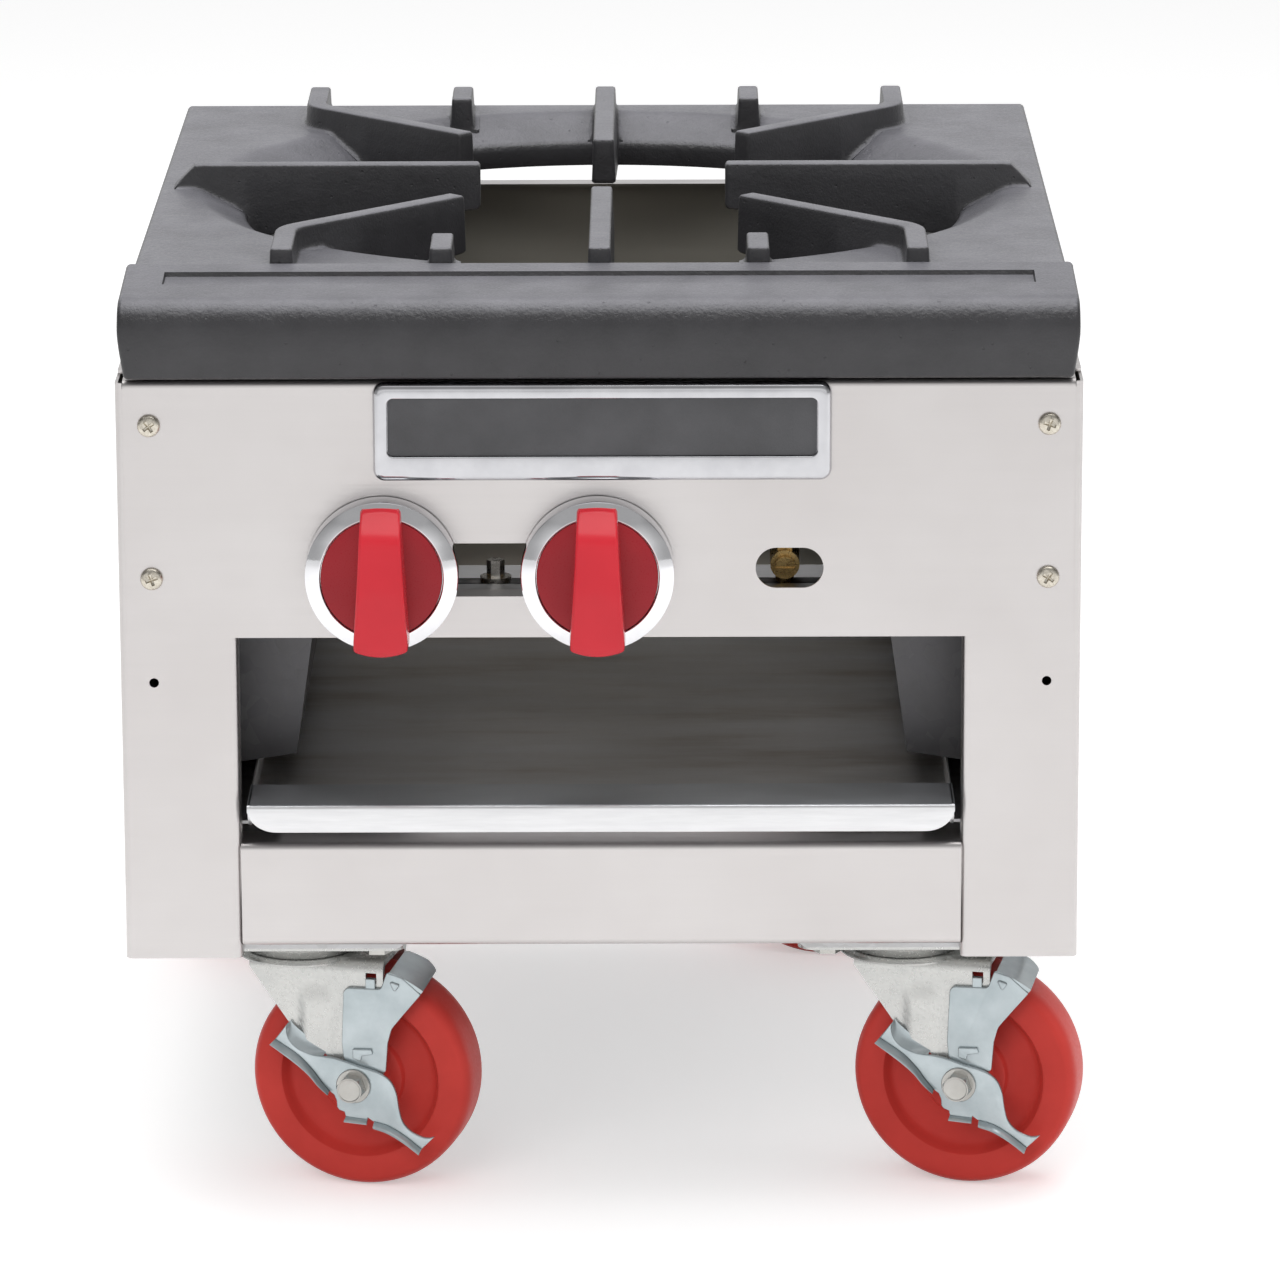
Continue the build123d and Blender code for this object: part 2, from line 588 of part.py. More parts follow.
def gas_valve(x):
    """Plug valve standing on the manifold: bonnet in front, outlet neck behind, inlet neck below."""
    back = MANIFOLD_Y + VALVE_LENGTH / 2
    front = MANIFOLD_Y - VALVE_LENGTH / 2
    body = rod(VALVE_D, (x, front + 6, VALVE_Z), (x, back, VALVE_Z))
    body += rod(VALVE_D + 5, (x, front, VALVE_Z), (x, front + 6, VALVE_Z))
    for dx in (-1, 1):
        at = (x + dx * 11.5, VALVE_Z)
        body += rod(6.5, (at[0], front - 2.5, at[1]), (at[0], front, at[1]))
    body += rod(12, (x, back, VALVE_Z), (x, back + 8, VALVE_Z))
    neck = rod(14, (x, MANIFOLD_Y, MANIFOLD_Z), (x, MANIFOLD_Y, VALVE_Z))
    neck += hexagon(17, (x, MANIFOLD_Y, MANIFOLD_Z + PIPE_D / 2 + 1), (x, MANIFOLD_Y, VALVE_Z - VALVE_D / 2 + 3))
    body += neck
    bore = rod(STEM_D + 2 * KNOB_TURN_FIT, (x, front - 5, VALVE_Z), (x, front + 12, VALVE_Z))
    return body - manifold_envelope() - bore


def valve_stem(x):
    """Round stem with a flat, from inside the valve's bonnet to the knob's hub."""
    front = MANIFOLD_Y - VALVE_LENGTH / 2
    tip = PANEL_Y - KNOB_STANDOFF - SKIRT_DEPTH + 6
    stem = rod(STEM_D, (x, tip, VALVE_Z), (x, front + 12 - SEAT_GAP, VALVE_Z))
    flat_end = PANEL_Y + 20
    return stem - block((x - 5, x + 5), (tip - 1, flat_end), (VALVE_Z + STEM_D / 2 - 1.2, VALVE_Z + STEM_D))


def orifice_hoods():
    """Brass hoods screwed on the valves' outlet necks, each pointing into its venturi."""
    hoods = []
    for x in KNOB_XS.values():
        start = MANIFOLD_Y + VALVE_LENGTH / 2
        end = start + 18
        hood = hexagon(15, (x, start, VALVE_Z), (x, end - 5, VALVE_Z))
        hood += rod(11, (x, end - 5, VALVE_Z), (x, end, VALVE_Z))
        hood -= rod(12, (x, start - 1, VALVE_Z), (x, start + 8, VALVE_Z))
        hoods.append(hood - rod(2.5, (x, start, VALVE_Z), (x, end + 1, VALVE_Z)))
    return Compound(hoods)


def pilot_valve():
    """Small brass valve on the manifold behind the window: slotted adjusting screw, cap nut, outlet."""
    x, y, z = PILOT_X - 1.5, MANIFOLD_Y - 1, MANIFOLD_Z + PIPE_D / 2 + 9
    body = rod(14, (x, y - 9, z), (x, y + 11, z))
    body += rod(9.5, (x, y - 13, z), (x, y - 9, z))
    body -= block((x - 6, x + 6), (y - 14, y - 11.5), (z - 0.7, z + 0.7))
    body += rod(9, (x, y, MANIFOLD_Z), (x, y, z))
    body += hexagon(12, (x, y, z), (x, y, z + 12))
    body += hexagon(9, (x, y, z + 12), (x, y, z + 16))
    body += hexagon(11, (x, y + 11, z), (x, y + 19, z))
    tube = rod(6.4 + 0.2, (x, y + 14, z), (x, y + 30, z))
    return body - manifold_envelope() - tube


def pilot_tube():
    """Bright tube from the pilot valve back under the burner's edge and up to the pilot."""
    x, y, z = PILOT_X - 1.5, MANIFOLD_Y - 1 + 14, MANIFOLD_Z + PIPE_D / 2 + 9
    end = pilot_place()
    route = FilletPolyline((x, y, z), (x, end[1], z), (x, end[1], end[2]), radius=14)
    return sweep(Plane(origin=(x, y, z), z_dir=(0, 1, 0)) * Circle(3.2), route)


def pilot_place():
    """Foot of the pilot burner, just outside the outer ring."""
    x = PILOT_X - 1.5
    reach = RING_R + RING_W / 2 + 9
    return (x, BURNER_Y - sqrt(reach ** 2 - x ** 2), RING_TOP - 20)


def pilot_burner():
    """Pilot head: a hooded nozzle on the tube's end, with a strap that rests against the ring."""
    x, y, z = pilot_place()
    head = rod(11, (x, y, z), (x, y, z + 14)) + rod(8, (x, y, z + 14), (x, y, z + 19))
    away = hypot(x, y - BURNER_Y)
    ux, uy = -x / away, (BURNER_Y - y) / away
    gap = away - RING_R - RING_W / 2
    strap = Box(gap, 7, 3)
    turn = degrees(atan(uy / ux))
    strap = Pos(x + ux * gap / 2, y + uy * gap / 2, z + 5) * Rot(0, 0, turn) * strap
    ring = Pos(0, BURNER_Y, z + 5) * Cylinder(RING_R + RING_W / 2, 40)
    return head + strap - ring


def manifold_bracket():
    """Angle behind the panel, from leg to leg, that the manifold lies against, notched for its cap."""
    t = SHEET / 2
    y = MANIFOLD_Y - PIPE_D / 2 - t
    z = MANIFOLD_Z + PIPE_D / 2
    section = bent([(PANEL_Y + 8, z), (y, z), (y, z - 22)])
    notch = block((MANIFOLD_LEFT - 8, MANIFOLD_LEFT + 14), (y - 2, y + 2), (z - 30, z - t - 0.1))
    return along_x(section, -LEG_IN, LEG_IN) - notch


def manifold_plug():
    """Hexagon plug in a small boss on top of the manifold, between the two valves."""
    x, y, top = sum(KNOB_XS.values()) / 2 + 1.5, MANIFOLD_Y, MANIFOLD_Z + PIPE_D / 2
    plug = rod(15, (x, y, MANIFOLD_Z), (x, y, top + 1.5)) + hexagon(7.5, (x, y, top + 1.5), (x, y, top + 9.5))
    return plug - manifold_envelope()


def supply_elbow():
    """Ninety-degree fitting from the manifold to the supply pipe."""
    bead, end = PIPE_D + 2 * ELBOW_WALL, PIPE_END
    x, y, z = SUPPLY_X, MANIFOLD_Y, MANIFOLD_Z
    body = Pos(x, y, z) * Sphere(bead / 2 - 1)
    body += rod(bead, (x - end - 10, y, z), (x - end + 2, y, z)) + rod(bead, (x, y + end - 2, z), (x, y + end + 10, z))
    body += rod(bead - 3, (x - end, y, z), (x, y, z)) + rod(bead - 3, (x, y, z), (x, y + end, z))
    seat = PIPE_D
    return body - rod(seat, (x - end - 11, y, z), (x - end, y, z)) - rod(seat, (x, y + end, z), (x, y + end + 11, z))


def supply_pipe():
    """Pipe from the elbow along the right side and out through the rear leg to a turned-down end."""
    x, z, end = SUPPLY_X, MANIFOLD_Z, DEPTH / 2 + SUPPLY_REACH
    shoulder = end - INLET_LENGTH
    tail = rod(INLET_D, (x, shoulder, z), (x, end, z)) - rod(PIPE_BORE, (x, shoulder, z), (x, end, z))
    return pipe((x, MANIFOLD_Y + PIPE_END, z), (x, shoulder, z)) + tail


def manifold_cap():
    """Screwed cap on the manifold's left end."""
    x = MANIFOLD_LEFT
    cap = rod(PIPE_D + 6.7, (x - 6, MANIFOLD_Y, MANIFOLD_Z), (x + 12, MANIFOLD_Y, MANIFOLD_Z))
    cap = fillet(cap.edges().sort_by(Axis.X)[0], 3)
    return cap - rod(PIPE_D, (x, MANIFOLD_Y, MANIFOLD_Z), (x + 13, MANIFOLD_Y, MANIFOLD_Z))


# ---- knobs -----------------------------------------------------------------------------------
def knob_skirt(x):
    """Bevelled ring round the knob, open at the back, with a floor that the handle seats on."""
    r = SKIRT_D / 2
    rear, face = PANEL_Y - KNOB_STANDOFF, PANEL_Y - KNOB_STANDOFF - SKIRT_DEPTH
    seat = face + 3
    section = outline(
        (INSERT_D / 2 + 0.1, face), (r - 4, face), (r, face + 4), (r, rear), (r - 2.5, rear),
        (r - 2.5, seat + 4), (HUB_D / 2 + 0.1, seat + 4), (HUB_D / 2 + 0.1, seat), (INSERT_D / 2 + 0.1, seat),
    )
    return Pos(x, 0, VALVE_Z) * revolve(section, Axis.Y)


def knob_handle(x):
    """Disc, tapered bar and hub in one moulding, bored for the stem."""
    face = PANEL_Y - KNOB_STANDOFF - SKIRT_DEPTH
    seat = face + 3
    rear = PANEL_Y - KNOB_STANDOFF + 1
    body = rod(INSERT_D, (0, face - 1, 0), (0, seat, 0)) + rod(HUB_D, (0, seat, 0), (0, rear, 0))
    top, bottom = HANDLE_TOP_W / 2, HANDLE_BOTTOM_W / 2
    front = outline(
        (-top, HANDLE_UP), (top, HANDLE_UP), (top - 1.5, 8), (bottom, -HANDLE_DOWN), (-bottom, -HANDLE_DOWN),
        (1.5 - top, 8),
    )
    bar = along_y(front, face - HANDLE_PROUD, face - 0.5)
    bar = fillet(bar.edges().filter_by(Axis.Y), 3)
    flank = outline(
        (face, HANDLE_UP + 1), (face - HANDLE_PROUD, HANDLE_UP - 14), (face - HANDLE_PROUD, HANDLE_UP + 1),
    )
    foot = outline(
        (face, -INSERT_D / 2 + 1), (face - 7, -HANDLE_DOWN - 1), (face, -HANDLE_DOWN - 1),
    )
    bar -= along_x(flank, -30, 30)
    bar -= along_x(foot, -30, 30)
    body += bar
    tip = face + 6
    bore = rod(STEM_D + 0.1, (0, tip, 0), (0, rear + 1, 0))
    bore -= block((-5, 5), (tip - 1, rear + 2), (STEM_D / 2 - 1.15, STEM_D))
    return Pos(x, 0, VALVE_Z) * (body - bore)


# ---- casters ---------------------------------------------------------------------------------
WHEEL_R = WHEEL_D / 2
CROWN_LOW = WHEEL_D + CROWN_GAP
CROWN_TOP = CROWN_LOW + FORK_T
HUB_HALF = WHEEL_W / 2 + 2.7
LEG_FACE = HUB_HALF + HUB_SIDE_GAP
LEG_OUT = LEG_FACE + FORK_T
SHOE_FACE = LEG_OUT + SEAT_GAP
SHOE_OUT = SHOE_FACE + BRAKE_T
LEVER_FACE = SHOE_OUT + SEAT_GAP
LEVER_OUT = LEVER_FACE + BRAKE_T
TAB = (38.5, 43.5)          # shoe's guide tab along the rolling line
TAB_Z = (WHEEL_D - 4.2, WHEEL_D - 1.2)


def kingpins():
    x, y = HALF - CASTER_FROM_SIDE, DEPTH / 2 - CASTER_FROM_END
    return [(-x, -y), (x, -y), (-x, y), (x, y)]


def bolt_places():
    x, y = BOLT_SPACING[0] / 2, BOLT_SPACING[1] / 2
    return [(x, y), (x, -y), (-x, y), (-x, -y)]


def caster_plate():
    """Mounting plate with the upper ball race under it and the kingpin through the middle."""
    long, wide, thick = PLATE_SIZE
    plate = Pos(0, 0, LEG_BOTTOM - thick / 2) * Box(long, wide, thick)
    plate = fillet(plate.edges().filter_by(Axis.Z), 8)
    for x, y in bolt_places():
        plate -= rod(BOLT_D + 2 * HOLE_FIT, (x, y, LEG_BOTTOM - 10), (x, y, LEG_BOTTOM + 1))
    under = LEG_BOTTOM - thick
    race = outline(
        (0, under), (CROWN_R - 3, under), (CROWN_R - 1, under - 3), (CROWN_R - 4, CROWN_TOP + SEAT_GAP),
        (0, CROWN_TOP + SEAT_GAP),
    )
    plate += revolve(Plane.XZ * race, Axis.Z)
    plate += rod(KINGPIN_D, (0, 0, CROWN_LOW - SEAT_GAP), (0, 0, under))
    return plate + rod(KINGPIN_D + 7, (0, 0, CROWN_LOW - 4), (0, 0, CROWN_LOW - SEAT_GAP))


def fork():
    """Pressed fork: a round crown under the race and a tapering leg each side of the wheel."""
    crown = Pos(0, 0, (CROWN_LOW + CROWN_TOP) / 2) * Cylinder(CROWN_R, FORK_T)
    yoke = block((-FORK_LEG_START, FORK_LEG_END), (-LEG_OUT, LEG_OUT), (CROWN_LOW, CROWN_TOP))
    leg = outline(
        (-FORK_LEG_START, CROWN_TOP), (2, WHEEL_R + 23), (TRAIL - 12, WHEEL_R - 6),
        (TRAIL + 12, WHEEL_R - 6), (FORK_LEG_END, WHEEL_R + 6), (FORK_LEG_END, CROWN_TOP),
    )
    leg = leg + Pos(TRAIL, WHEEL_R) * Circle(14)
    legs = along_y(leg, LEG_FACE, LEG_OUT) + along_y(leg, -LEG_OUT, -LEG_FACE)
    body = yoke + legs
    shoulders = [e for e in body.edges().filter_by(Axis.X)
                 if e.center().Z > CROWN_TOP - 0.1 and abs(abs(e.center().Y) - LEG_OUT) < 0.1]
    body = fillet(shoulders, FORK_T - 0.4) + crown
    body -= rod(KINGPIN_D + 2 * RUN_FIT, (0, 0, CROWN_LOW - 5), (0, 0, CROWN_TOP + 5))
    hole = rod(AXLE_D + 0.1, (TRAIL, -LEG_OUT - 5, WHEEL_R), (TRAIL, LEG_OUT + 5, WHEEL_R))
    return body - hole


def brake_slot():
    """Slot in the fork's outer leg that the shoe's tab travels in."""
    x = (TAB[0] - SEAT_GAP, TAB[1] + SEAT_GAP)
    z = (TAB_Z[0] - SHOE_TRAVEL - SEAT_GAP, CROWN_LOW - 1)
    return block(x, (-LEG_OUT - 1, -LEG_FACE + 1), z)


def wheel():
    """Moulded wheel: rounded tread, a dished recess each side and a hub bored for the axle."""
    bore = AXLE_D / 2 + RUN_FIT
    half, rim = WHEEL_W / 2, WHEEL_R - 4.5
    web = half - WHEEL_RECESS
    right = [(HUB_HALF, bore), (HUB_HALF, 12), (web, 15), (web, WHEEL_RECESS_R - 4), (half, WHEEL_RECESS_R),
             (half, rim), (half - 4.5, WHEEL_R)]
    left = [(-x, r) for x, r in reversed(right)]
    section = outline(*right, *left)
    corners = [v for v in section.vertices() if v.Y > rim - 0.1]
    section = fillet(corners, 2.4)
    return Pos(TRAIL, 0, WHEEL_R) * Rot(0, 0, 90) * revolve(section, Axis.X)


def axle(braked):
    """Axle bolt and nut: the braked one is longer and carries a spacer that the lever turns on."""
    y_head = -LEVER_OUT - SEAT_GAP if braked else -LEG_OUT
    at = lambda y: (TRAIL, y, WHEEL_R)
    bolt = rod(AXLE_D, at(y_head), at(LEG_OUT + 9))
    bolt += rod(17, at(y_head - 1.6), at(y_head))
    bolt += hexagon(12.6, at(y_head - 1.6), at(y_head - 8.5))
    bolt += hexagon(15, at(LEG_OUT), at(LEG_OUT + 7))
    if braked:
        bolt += rod(14, at(-LEVER_FACE + SEAT_GAP), at(-LEG_OUT))
    return bolt


def lever_place():
    """The lever's own frame: origin on the axle, X along the lever, Y across it, Z outward."""
    along = (cos(radians(LEVER_TILT)), 0, -sin(radians(LEVER_TILT)))
    return Plane(origin=(TRAIL, -LEVER_FACE, WHEEL_R), x_dir=along, z_dir=(0, -1, 0))


def brake_lever():
    """Pressed lever with two flared arms, a cam lobe round the axle and stiffening lips."""
    lower = Spline((-46.9, -1.3), (-25, -6.3), (4.8, -11), (17.9, -5), (42.5, -0.8))
    upper = Spline((43.8, 9.8), (33, 3), (16.7, 13), (5.9, 15.7), (-12.8, 8.2), (-25.3, 2), (-45.4, 10.3))
    face = make_face([lower, Line(lower @ 1, upper @ 0), upper, Line(upper @ 1, lower @ 0)])
    place = lever_place()
    lever = extrude(place * face, BRAKE_T)
    for ends in (((-46.6, -1.3), (-14, -8.6)), ((19.5, -4.8), (42.3, -0.9))):
        lip = trace(Line(*ends), 2.0)
        lever += extrude(place * Pos(0, 1, 0) * lip, BRAKE_T + 4)
    return lever - rod(AXLE_D + 2 * RUN_FIT, (TRAIL, -60, WHEEL_R), (TRAIL, -LEVER_FACE + 5, WHEEL_R))


def brake_shoe():
    """Sliding plate on the fork's leg, with a guide tab and a curved pad bent over the tread."""
    top = TAB_Z[1] - 2.8
    pad_r = WHEEL_R + PAD_GAP
    angles = (52.0, 71.0)
    on_arc = lambda r, a: (TRAIL + r * cos(radians(a)), WHEEL_R + r * sin(radians(a)))
    low, high = on_arc(pad_r + BRAKE_T, angles[0]), on_arc(pad_r + BRAKE_T, angles[1])
    plate = outline(
        (30.5, WHEEL_R + 10.5), (49.5, WHEEL_R + 10.5), (50.5, WHEEL_R + 28), on_arc(pad_r - 5, angles[0]),
        low, high, (46.5, top), (33.5, top), (30.5, top - 3),
    )
    shoe = along_y(plate, -SHOE_OUT, -SHOE_FACE)
    hub = Pos(TRAIL, WHEEL_R)
    sector = hub * (Circle(pad_r + BRAKE_T) - Circle(pad_r))
    sector = sector & outline((TRAIL, WHEEL_R), on_arc(2 * pad_r, angles[0]), on_arc(2 * pad_r, angles[1]))
    shoe += along_y(sector, -SHOE_OUT, HUB_HALF - 5)
    shoe += block(TAB, (-SHOE_OUT, -SHOE_FACE), (top - 1, TAB_Z[1]))
    return shoe + block(TAB, (-SHOE_FACE - 0.1, -LEG_FACE + 1.0), TAB_Z)


def caster_bolts():
    """Sixteen bolts up through the caster plates and base rails, each with its nut."""
    bolts = []
    for centre in kingpins():
        for dx, dy in bolt_places():
            at = lambda z: (centre[0] + dx, centre[1] + dy, z)
            plate_low = LEG_BOTTOM - PLATE_SIZE[2]
            bolt = rod(BOLT_D, at(plate_low), at(LEG_BOTTOM + RAIL_T + 9))
            bolt += hexagon(13, at(plate_low - 5), at(plate_low))
            bolts.append(bolt + hexagon(13, at(LEG_BOTTOM + RAIL_T), at(LEG_BOTTOM + RAIL_T + 6.5)))
    return Compound(bolts)


# ---- the assembly ----------------------------------------------------------------------------
keep("grate_top", cast_top())
keep("front_panel", front_panel())
keep("panel_screws", panel_screws())
keep("badge_frame", badge_frame())
keep("badge_field", badge_field())
keep("back_panel", back_panel())
keep("front_crossbar", crossbar(-1))
keep("rear_crossbar", crossbar(1))
keep("drip_tray", drip_tray())
for word, sign in SIDES.items():
    keep(f"{word}_side", side(sign))
    keep(f"{word}_base_rail", base_rail(sign))
    keep(f"{word}_tray_runner", tray_runner(sign))
    keep(f"{word}_heat_shield", heat_shield(sign))
keep("outer_burner", outer_burner())
keep("inner_burner", inner_burner())
keep("burner_bars", burner_bars())
keep("air_shutters", air_shutters())
keep("manifold_pipe", pipe((MANIFOLD_LEFT, MANIFOLD_Y, MANIFOLD_Z), (SUPPLY_X - PIPE_END, MANIFOLD_Y, MANIFOLD_Z)))
keep("manifold_cap", manifold_cap())
keep("manifold_plug", manifold_plug())
keep("manifold_bracket", manifold_bracket())
keep("supply_elbow", supply_elbow())
keep("supply_pipe", supply_pipe())
keep("orifice_hoods", orifice_hoods())
keep("pilot_valve", pilot_valve())
keep("pilot_tube", pilot_tube())
keep("pilot_burner", pilot_burner())
for word, x in KNOB_XS.items():
    keep(f"{word}_gas_valve", gas_valve(x))
    keep(f"{word}_valve_stem", valve_stem(x))
    keep(f"{word}_knob_skirt", knob_skirt(x))
    keep(f"{word}_knob_handle", knob_handle(x))

plain_fork, braked_fork = fork(), fork() - brake_slot()
for (x, y), word in zip(kingpins(), ("front_left", "front_right", "rear_left", "rear_right")):
    braked = y < 0
    turn = -CASTER_YAW if braked else 180 - CASTER_YAW
    place = Pos(x, y, 0) * Rot(0, 0, turn)
    keep(f"{word}_caster_plate", Pos(x, y, 0) * caster_plate())
    keep(f"{word}_fork", place * (braked_fork if braked else plain_fork))
    keep(f"{word}_wheel", place * wheel())
    keep(f"{word}_axle", place * axle(braked))
    if braked:
        keep(f"{word}_brake_lever", place * brake_lever())
        keep(f"{word}_brake_shoe", place * brake_shoe())
keep("caster_bolts", caster_bolts())

os.makedirs("parts", exist_ok=True)
for name, shape in NODES.items():
    export_step(shape, f"parts/{name}.step")
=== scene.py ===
import json
import math

import bpy
import numpy as np
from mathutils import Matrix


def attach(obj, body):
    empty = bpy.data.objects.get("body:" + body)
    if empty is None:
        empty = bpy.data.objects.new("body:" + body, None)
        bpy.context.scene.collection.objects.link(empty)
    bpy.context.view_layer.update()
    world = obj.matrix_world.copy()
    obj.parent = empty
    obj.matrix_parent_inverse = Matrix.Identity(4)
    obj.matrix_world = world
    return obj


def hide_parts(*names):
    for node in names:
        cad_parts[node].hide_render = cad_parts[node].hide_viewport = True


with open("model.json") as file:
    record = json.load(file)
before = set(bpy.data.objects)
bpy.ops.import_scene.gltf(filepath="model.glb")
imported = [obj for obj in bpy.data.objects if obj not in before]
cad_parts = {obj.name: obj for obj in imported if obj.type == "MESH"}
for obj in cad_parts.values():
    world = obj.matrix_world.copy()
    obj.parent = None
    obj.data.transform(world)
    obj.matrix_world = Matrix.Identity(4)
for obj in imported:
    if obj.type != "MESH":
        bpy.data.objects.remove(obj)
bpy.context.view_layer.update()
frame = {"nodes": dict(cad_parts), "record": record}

camera = bpy.data.objects.new("camera", bpy.data.cameras.new("camera"))
camera.data.lens = 206.74
camera.data.clip_end = 60
camera.location = (0.02933, -3.63335, 1.16552)
camera.rotation_euler = [math.radians(a) for a in (75.4517, 0.1832, 0.1279)]
bpy.context.scene.collection.objects.link(camera)
bpy.context.scene.camera = camera

# ---- Studio ----------------------------------------------------------------------------------
# A seamless white floor under broad soft lamps: a large one overhead, one in front at the left and one
# at the right. The floor stays white to the camera and keeps the range's soft grey shadow.
bpy.context.scene.view_settings.view_transform = "Standard"


def material(name, **settings):
    """A Principled material with its sockets set by name, returned with its node tree and shader."""
    made = bpy.data.materials.new(name)
    made.use_nodes = True
    shader = made.node_tree.nodes["Principled BSDF"]
    for key, value in settings.items():
        shader.inputs[key.replace("_", " ")].default_value = value
    return made, made.node_tree, shader


def texture(tree, kind, scale, detail=4.0, rough=0.5, stretch=(1, 1, 1)):
    """A pattern on the piece's own coordinates; a stretch below one draws it out along that axis."""
    place = tree.nodes.new("ShaderNodeTexCoord")
    shape = tree.nodes.new("ShaderNodeMapping")
    shape.inputs["Scale"].default_value = stretch
    made = tree.nodes.new(kind)
    made.inputs["Scale"].default_value = scale
    if kind == "ShaderNodeTexNoise":
        made.inputs["Detail"].default_value = detail
        made.inputs["Roughness"].default_value = rough
    tree.links.new(place.outputs["Object"], shape.inputs["Vector"])
    tree.links.new(shape.outputs["Vector"], made.inputs["Vector"])
    return made.outputs[0]


def ramp(tree, source, *stops):
    """Colours or greys by the pattern's value: each stop is a place and a colour."""
    made = tree.nodes.new("ShaderNodeValToRGB")
    band = made.color_ramp
    for element, (place, colour) in zip([band.elements[0], band.elements[1]], (stops[0], stops[-1])):
        element.position, element.color = place, colour
    for place, colour in stops[1:-1]:
        band.elements.new(place).color = colour
    tree.links.new(source, made.inputs["Fac"])
    return made.outputs["Color"]


def grey(value):
    return (value, value, value, 1.0)


def bumps(tree, shader, *layers):
    """Chain of bumps into the shader's normal: each layer is a pattern and its depth in metres."""
    last = None
    for source, depth in layers:
        made = tree.nodes.new("ShaderNodeBump")
        made.inputs["Distance"].default_value = depth
        tree.links.new(source, made.inputs["Height"])
        if last:
            tree.links.new(last, made.inputs["Normal"])
        last = made.outputs["Normal"]
    tree.links.new(last, shader.inputs["Normal"])


def sums(tree, what, *values):
    """One math node: each value is a number or another node's output."""
    made = tree.nodes.new("ShaderNodeMath")
    made.operation = what
    for socket, value in zip(made.inputs, values):
        if isinstance(value, (int, float)):
            socket.default_value = value
        else:
            tree.links.new(value, socket)
    return made.outputs[0]


def facing(tree, axis):
    """How far the surface faces along X, Y or Z."""
    surface = tree.nodes.new("ShaderNodeNewGeometry")
    parts = tree.nodes.new("ShaderNodeSeparateXYZ")
    tree.links.new(surface.outputs["Normal"], parts.inputs[0])
    return parts.outputs[axis]


def span(tree, source, low, high, to_low=0.0, to_high=1.0):
    """Smooth step of a value between two limits."""
    made = tree.nodes.new("ShaderNodeMapRange")
    made.interpolation_type = "SMOOTHSTEP"
    for name, value in (("From Min", low), ("From Max", high), ("To Min", to_low), ("To Max", to_high)):
        made.inputs[name].default_value = value
    tree.links.new(source, made.inputs["Value"])
    return made.outputs["Result"]


def blended(tree, share, first, second):
    """Two colours mixed: each is four numbers or a node's output, the share likewise."""
    made = tree.nodes.new("ShaderNodeMix")
    made.data_type = "RGBA"
    for socket, value in ((made.inputs[0], share), (made.inputs[6], first), (made.inputs[7], second)):
        if isinstance(value, (int, float, tuple)):
            socket.default_value = value
        else:
            tree.links.new(value, socket)
    return made.outputs[2]


def mottled(name, tone, tones, grain, rough, depths, at=(0.3, 0.7), **settings):
    """A material of two noises, each given as scale, detail, roughness and stretch. The first runs the
    colour through the tones; the second, or the first again, runs the roughness between two values and
    stands out by the first depth. A second depth is the first noise's own."""
    made, tree, shader = material(name, **settings)
    drift = texture(tree, "ShaderNodeTexNoise", *tone)
    fine = texture(tree, "ShaderNodeTexNoise", *grain) if grain else drift
    tree.links.new(ramp(tree, drift, *tones), shader.inputs["Base Color"])
    stops = [(place, grey(value)) for place, value in zip(at, rough)]
    tree.links.new(ramp(tree, fine, *stops), shader.inputs["Roughness"])
    bumps(tree, shader, *zip((fine, drift), depths))
    return made


def paint(piece, look):
    """Gives a piece its one material."""
    piece.data.materials.clear()
    piece.data.materials.append(look)


def seen_rays(tree):
    """One for the rays that show the room itself: off gloss or through glass, and these or to the camera."""
    rays = tree.nodes.new("ShaderNodeLightPath")
    shine = sums(tree, "MAXIMUM", rays.outputs["Is Glossy Ray"], rays.outputs["Is Transmission Ray"])
    return shine, sums(tree, "MAXIMUM", shine, rays.outputs["Is Camera Ray"])


# The room is white low down and overhead and dims between them and to both sides, so that polished edges
# and bends pick up a darker line. Seen directly it is plain white.
world = bpy.data.worlds.new("studio")
bpy.context.scene.world = world
world.use_nodes = True
tree = world.node_tree
back = tree.nodes["Background"]
shine, seen = seen_rays(tree)
direction = tree.nodes.new("ShaderNodeTexCoord")
height = tree.nodes.new("ShaderNodeSeparateXYZ")
tree.links.new(direction.outputs["Generated"], height.inputs[0])
sky = ramp(tree, height.outputs[2],
           (0.22, grey(1.0)), (0.48, grey(0.42)), (0.80, grey(0.40)), (1.0, grey(1.0)))
wings = span(tree, sums(tree, "ABSOLUTE", height.outputs[0]), 0.50, 0.85, 1.0, 0.42)
walls = tree.nodes.new("ShaderNodeMix")
walls.data_type, walls.blend_type = "RGBA", "MULTIPLY"
walls.inputs[0].default_value = 1.0
tree.links.new(sky, walls.inputs[6])
tree.links.new(wings, walls.inputs[7])
tree.links.new(blended(tree, shine, (1, 1, 1, 1), walls.outputs[2]), back.inputs["Color"])
tree.links.new(sums(tree, "MULTIPLY_ADD", seen, 0.5, 0.5), back.inputs["Strength"])

floor_mesh = bpy.data.meshes.new("floor")
floor_mesh.from_pydata([(-14, -14, 0), (14, -14, 0), (14, 14, 0), (-14, 14, 0)], [], [(0, 1, 2, 3)])
floor = bpy.data.objects.new("floor", floor_mesh)
bpy.context.scene.collection.objects.link(floor)
paper, tree, shader = material("seamless_paper", Base_Color=(0.86, 0.86, 0.86, 1), Roughness=0.9)
shader.inputs["Specular IOR Level"].default_value = 0.1
shader.inputs["Emission Color"].default_value = (1, 1, 1, 1)
tree.links.new(sums(tree, "MULTIPLY", seen_rays(tree)[1], 0.41), shader.inputs["Emission Strength"])
floor_mesh.materials.append(paper)


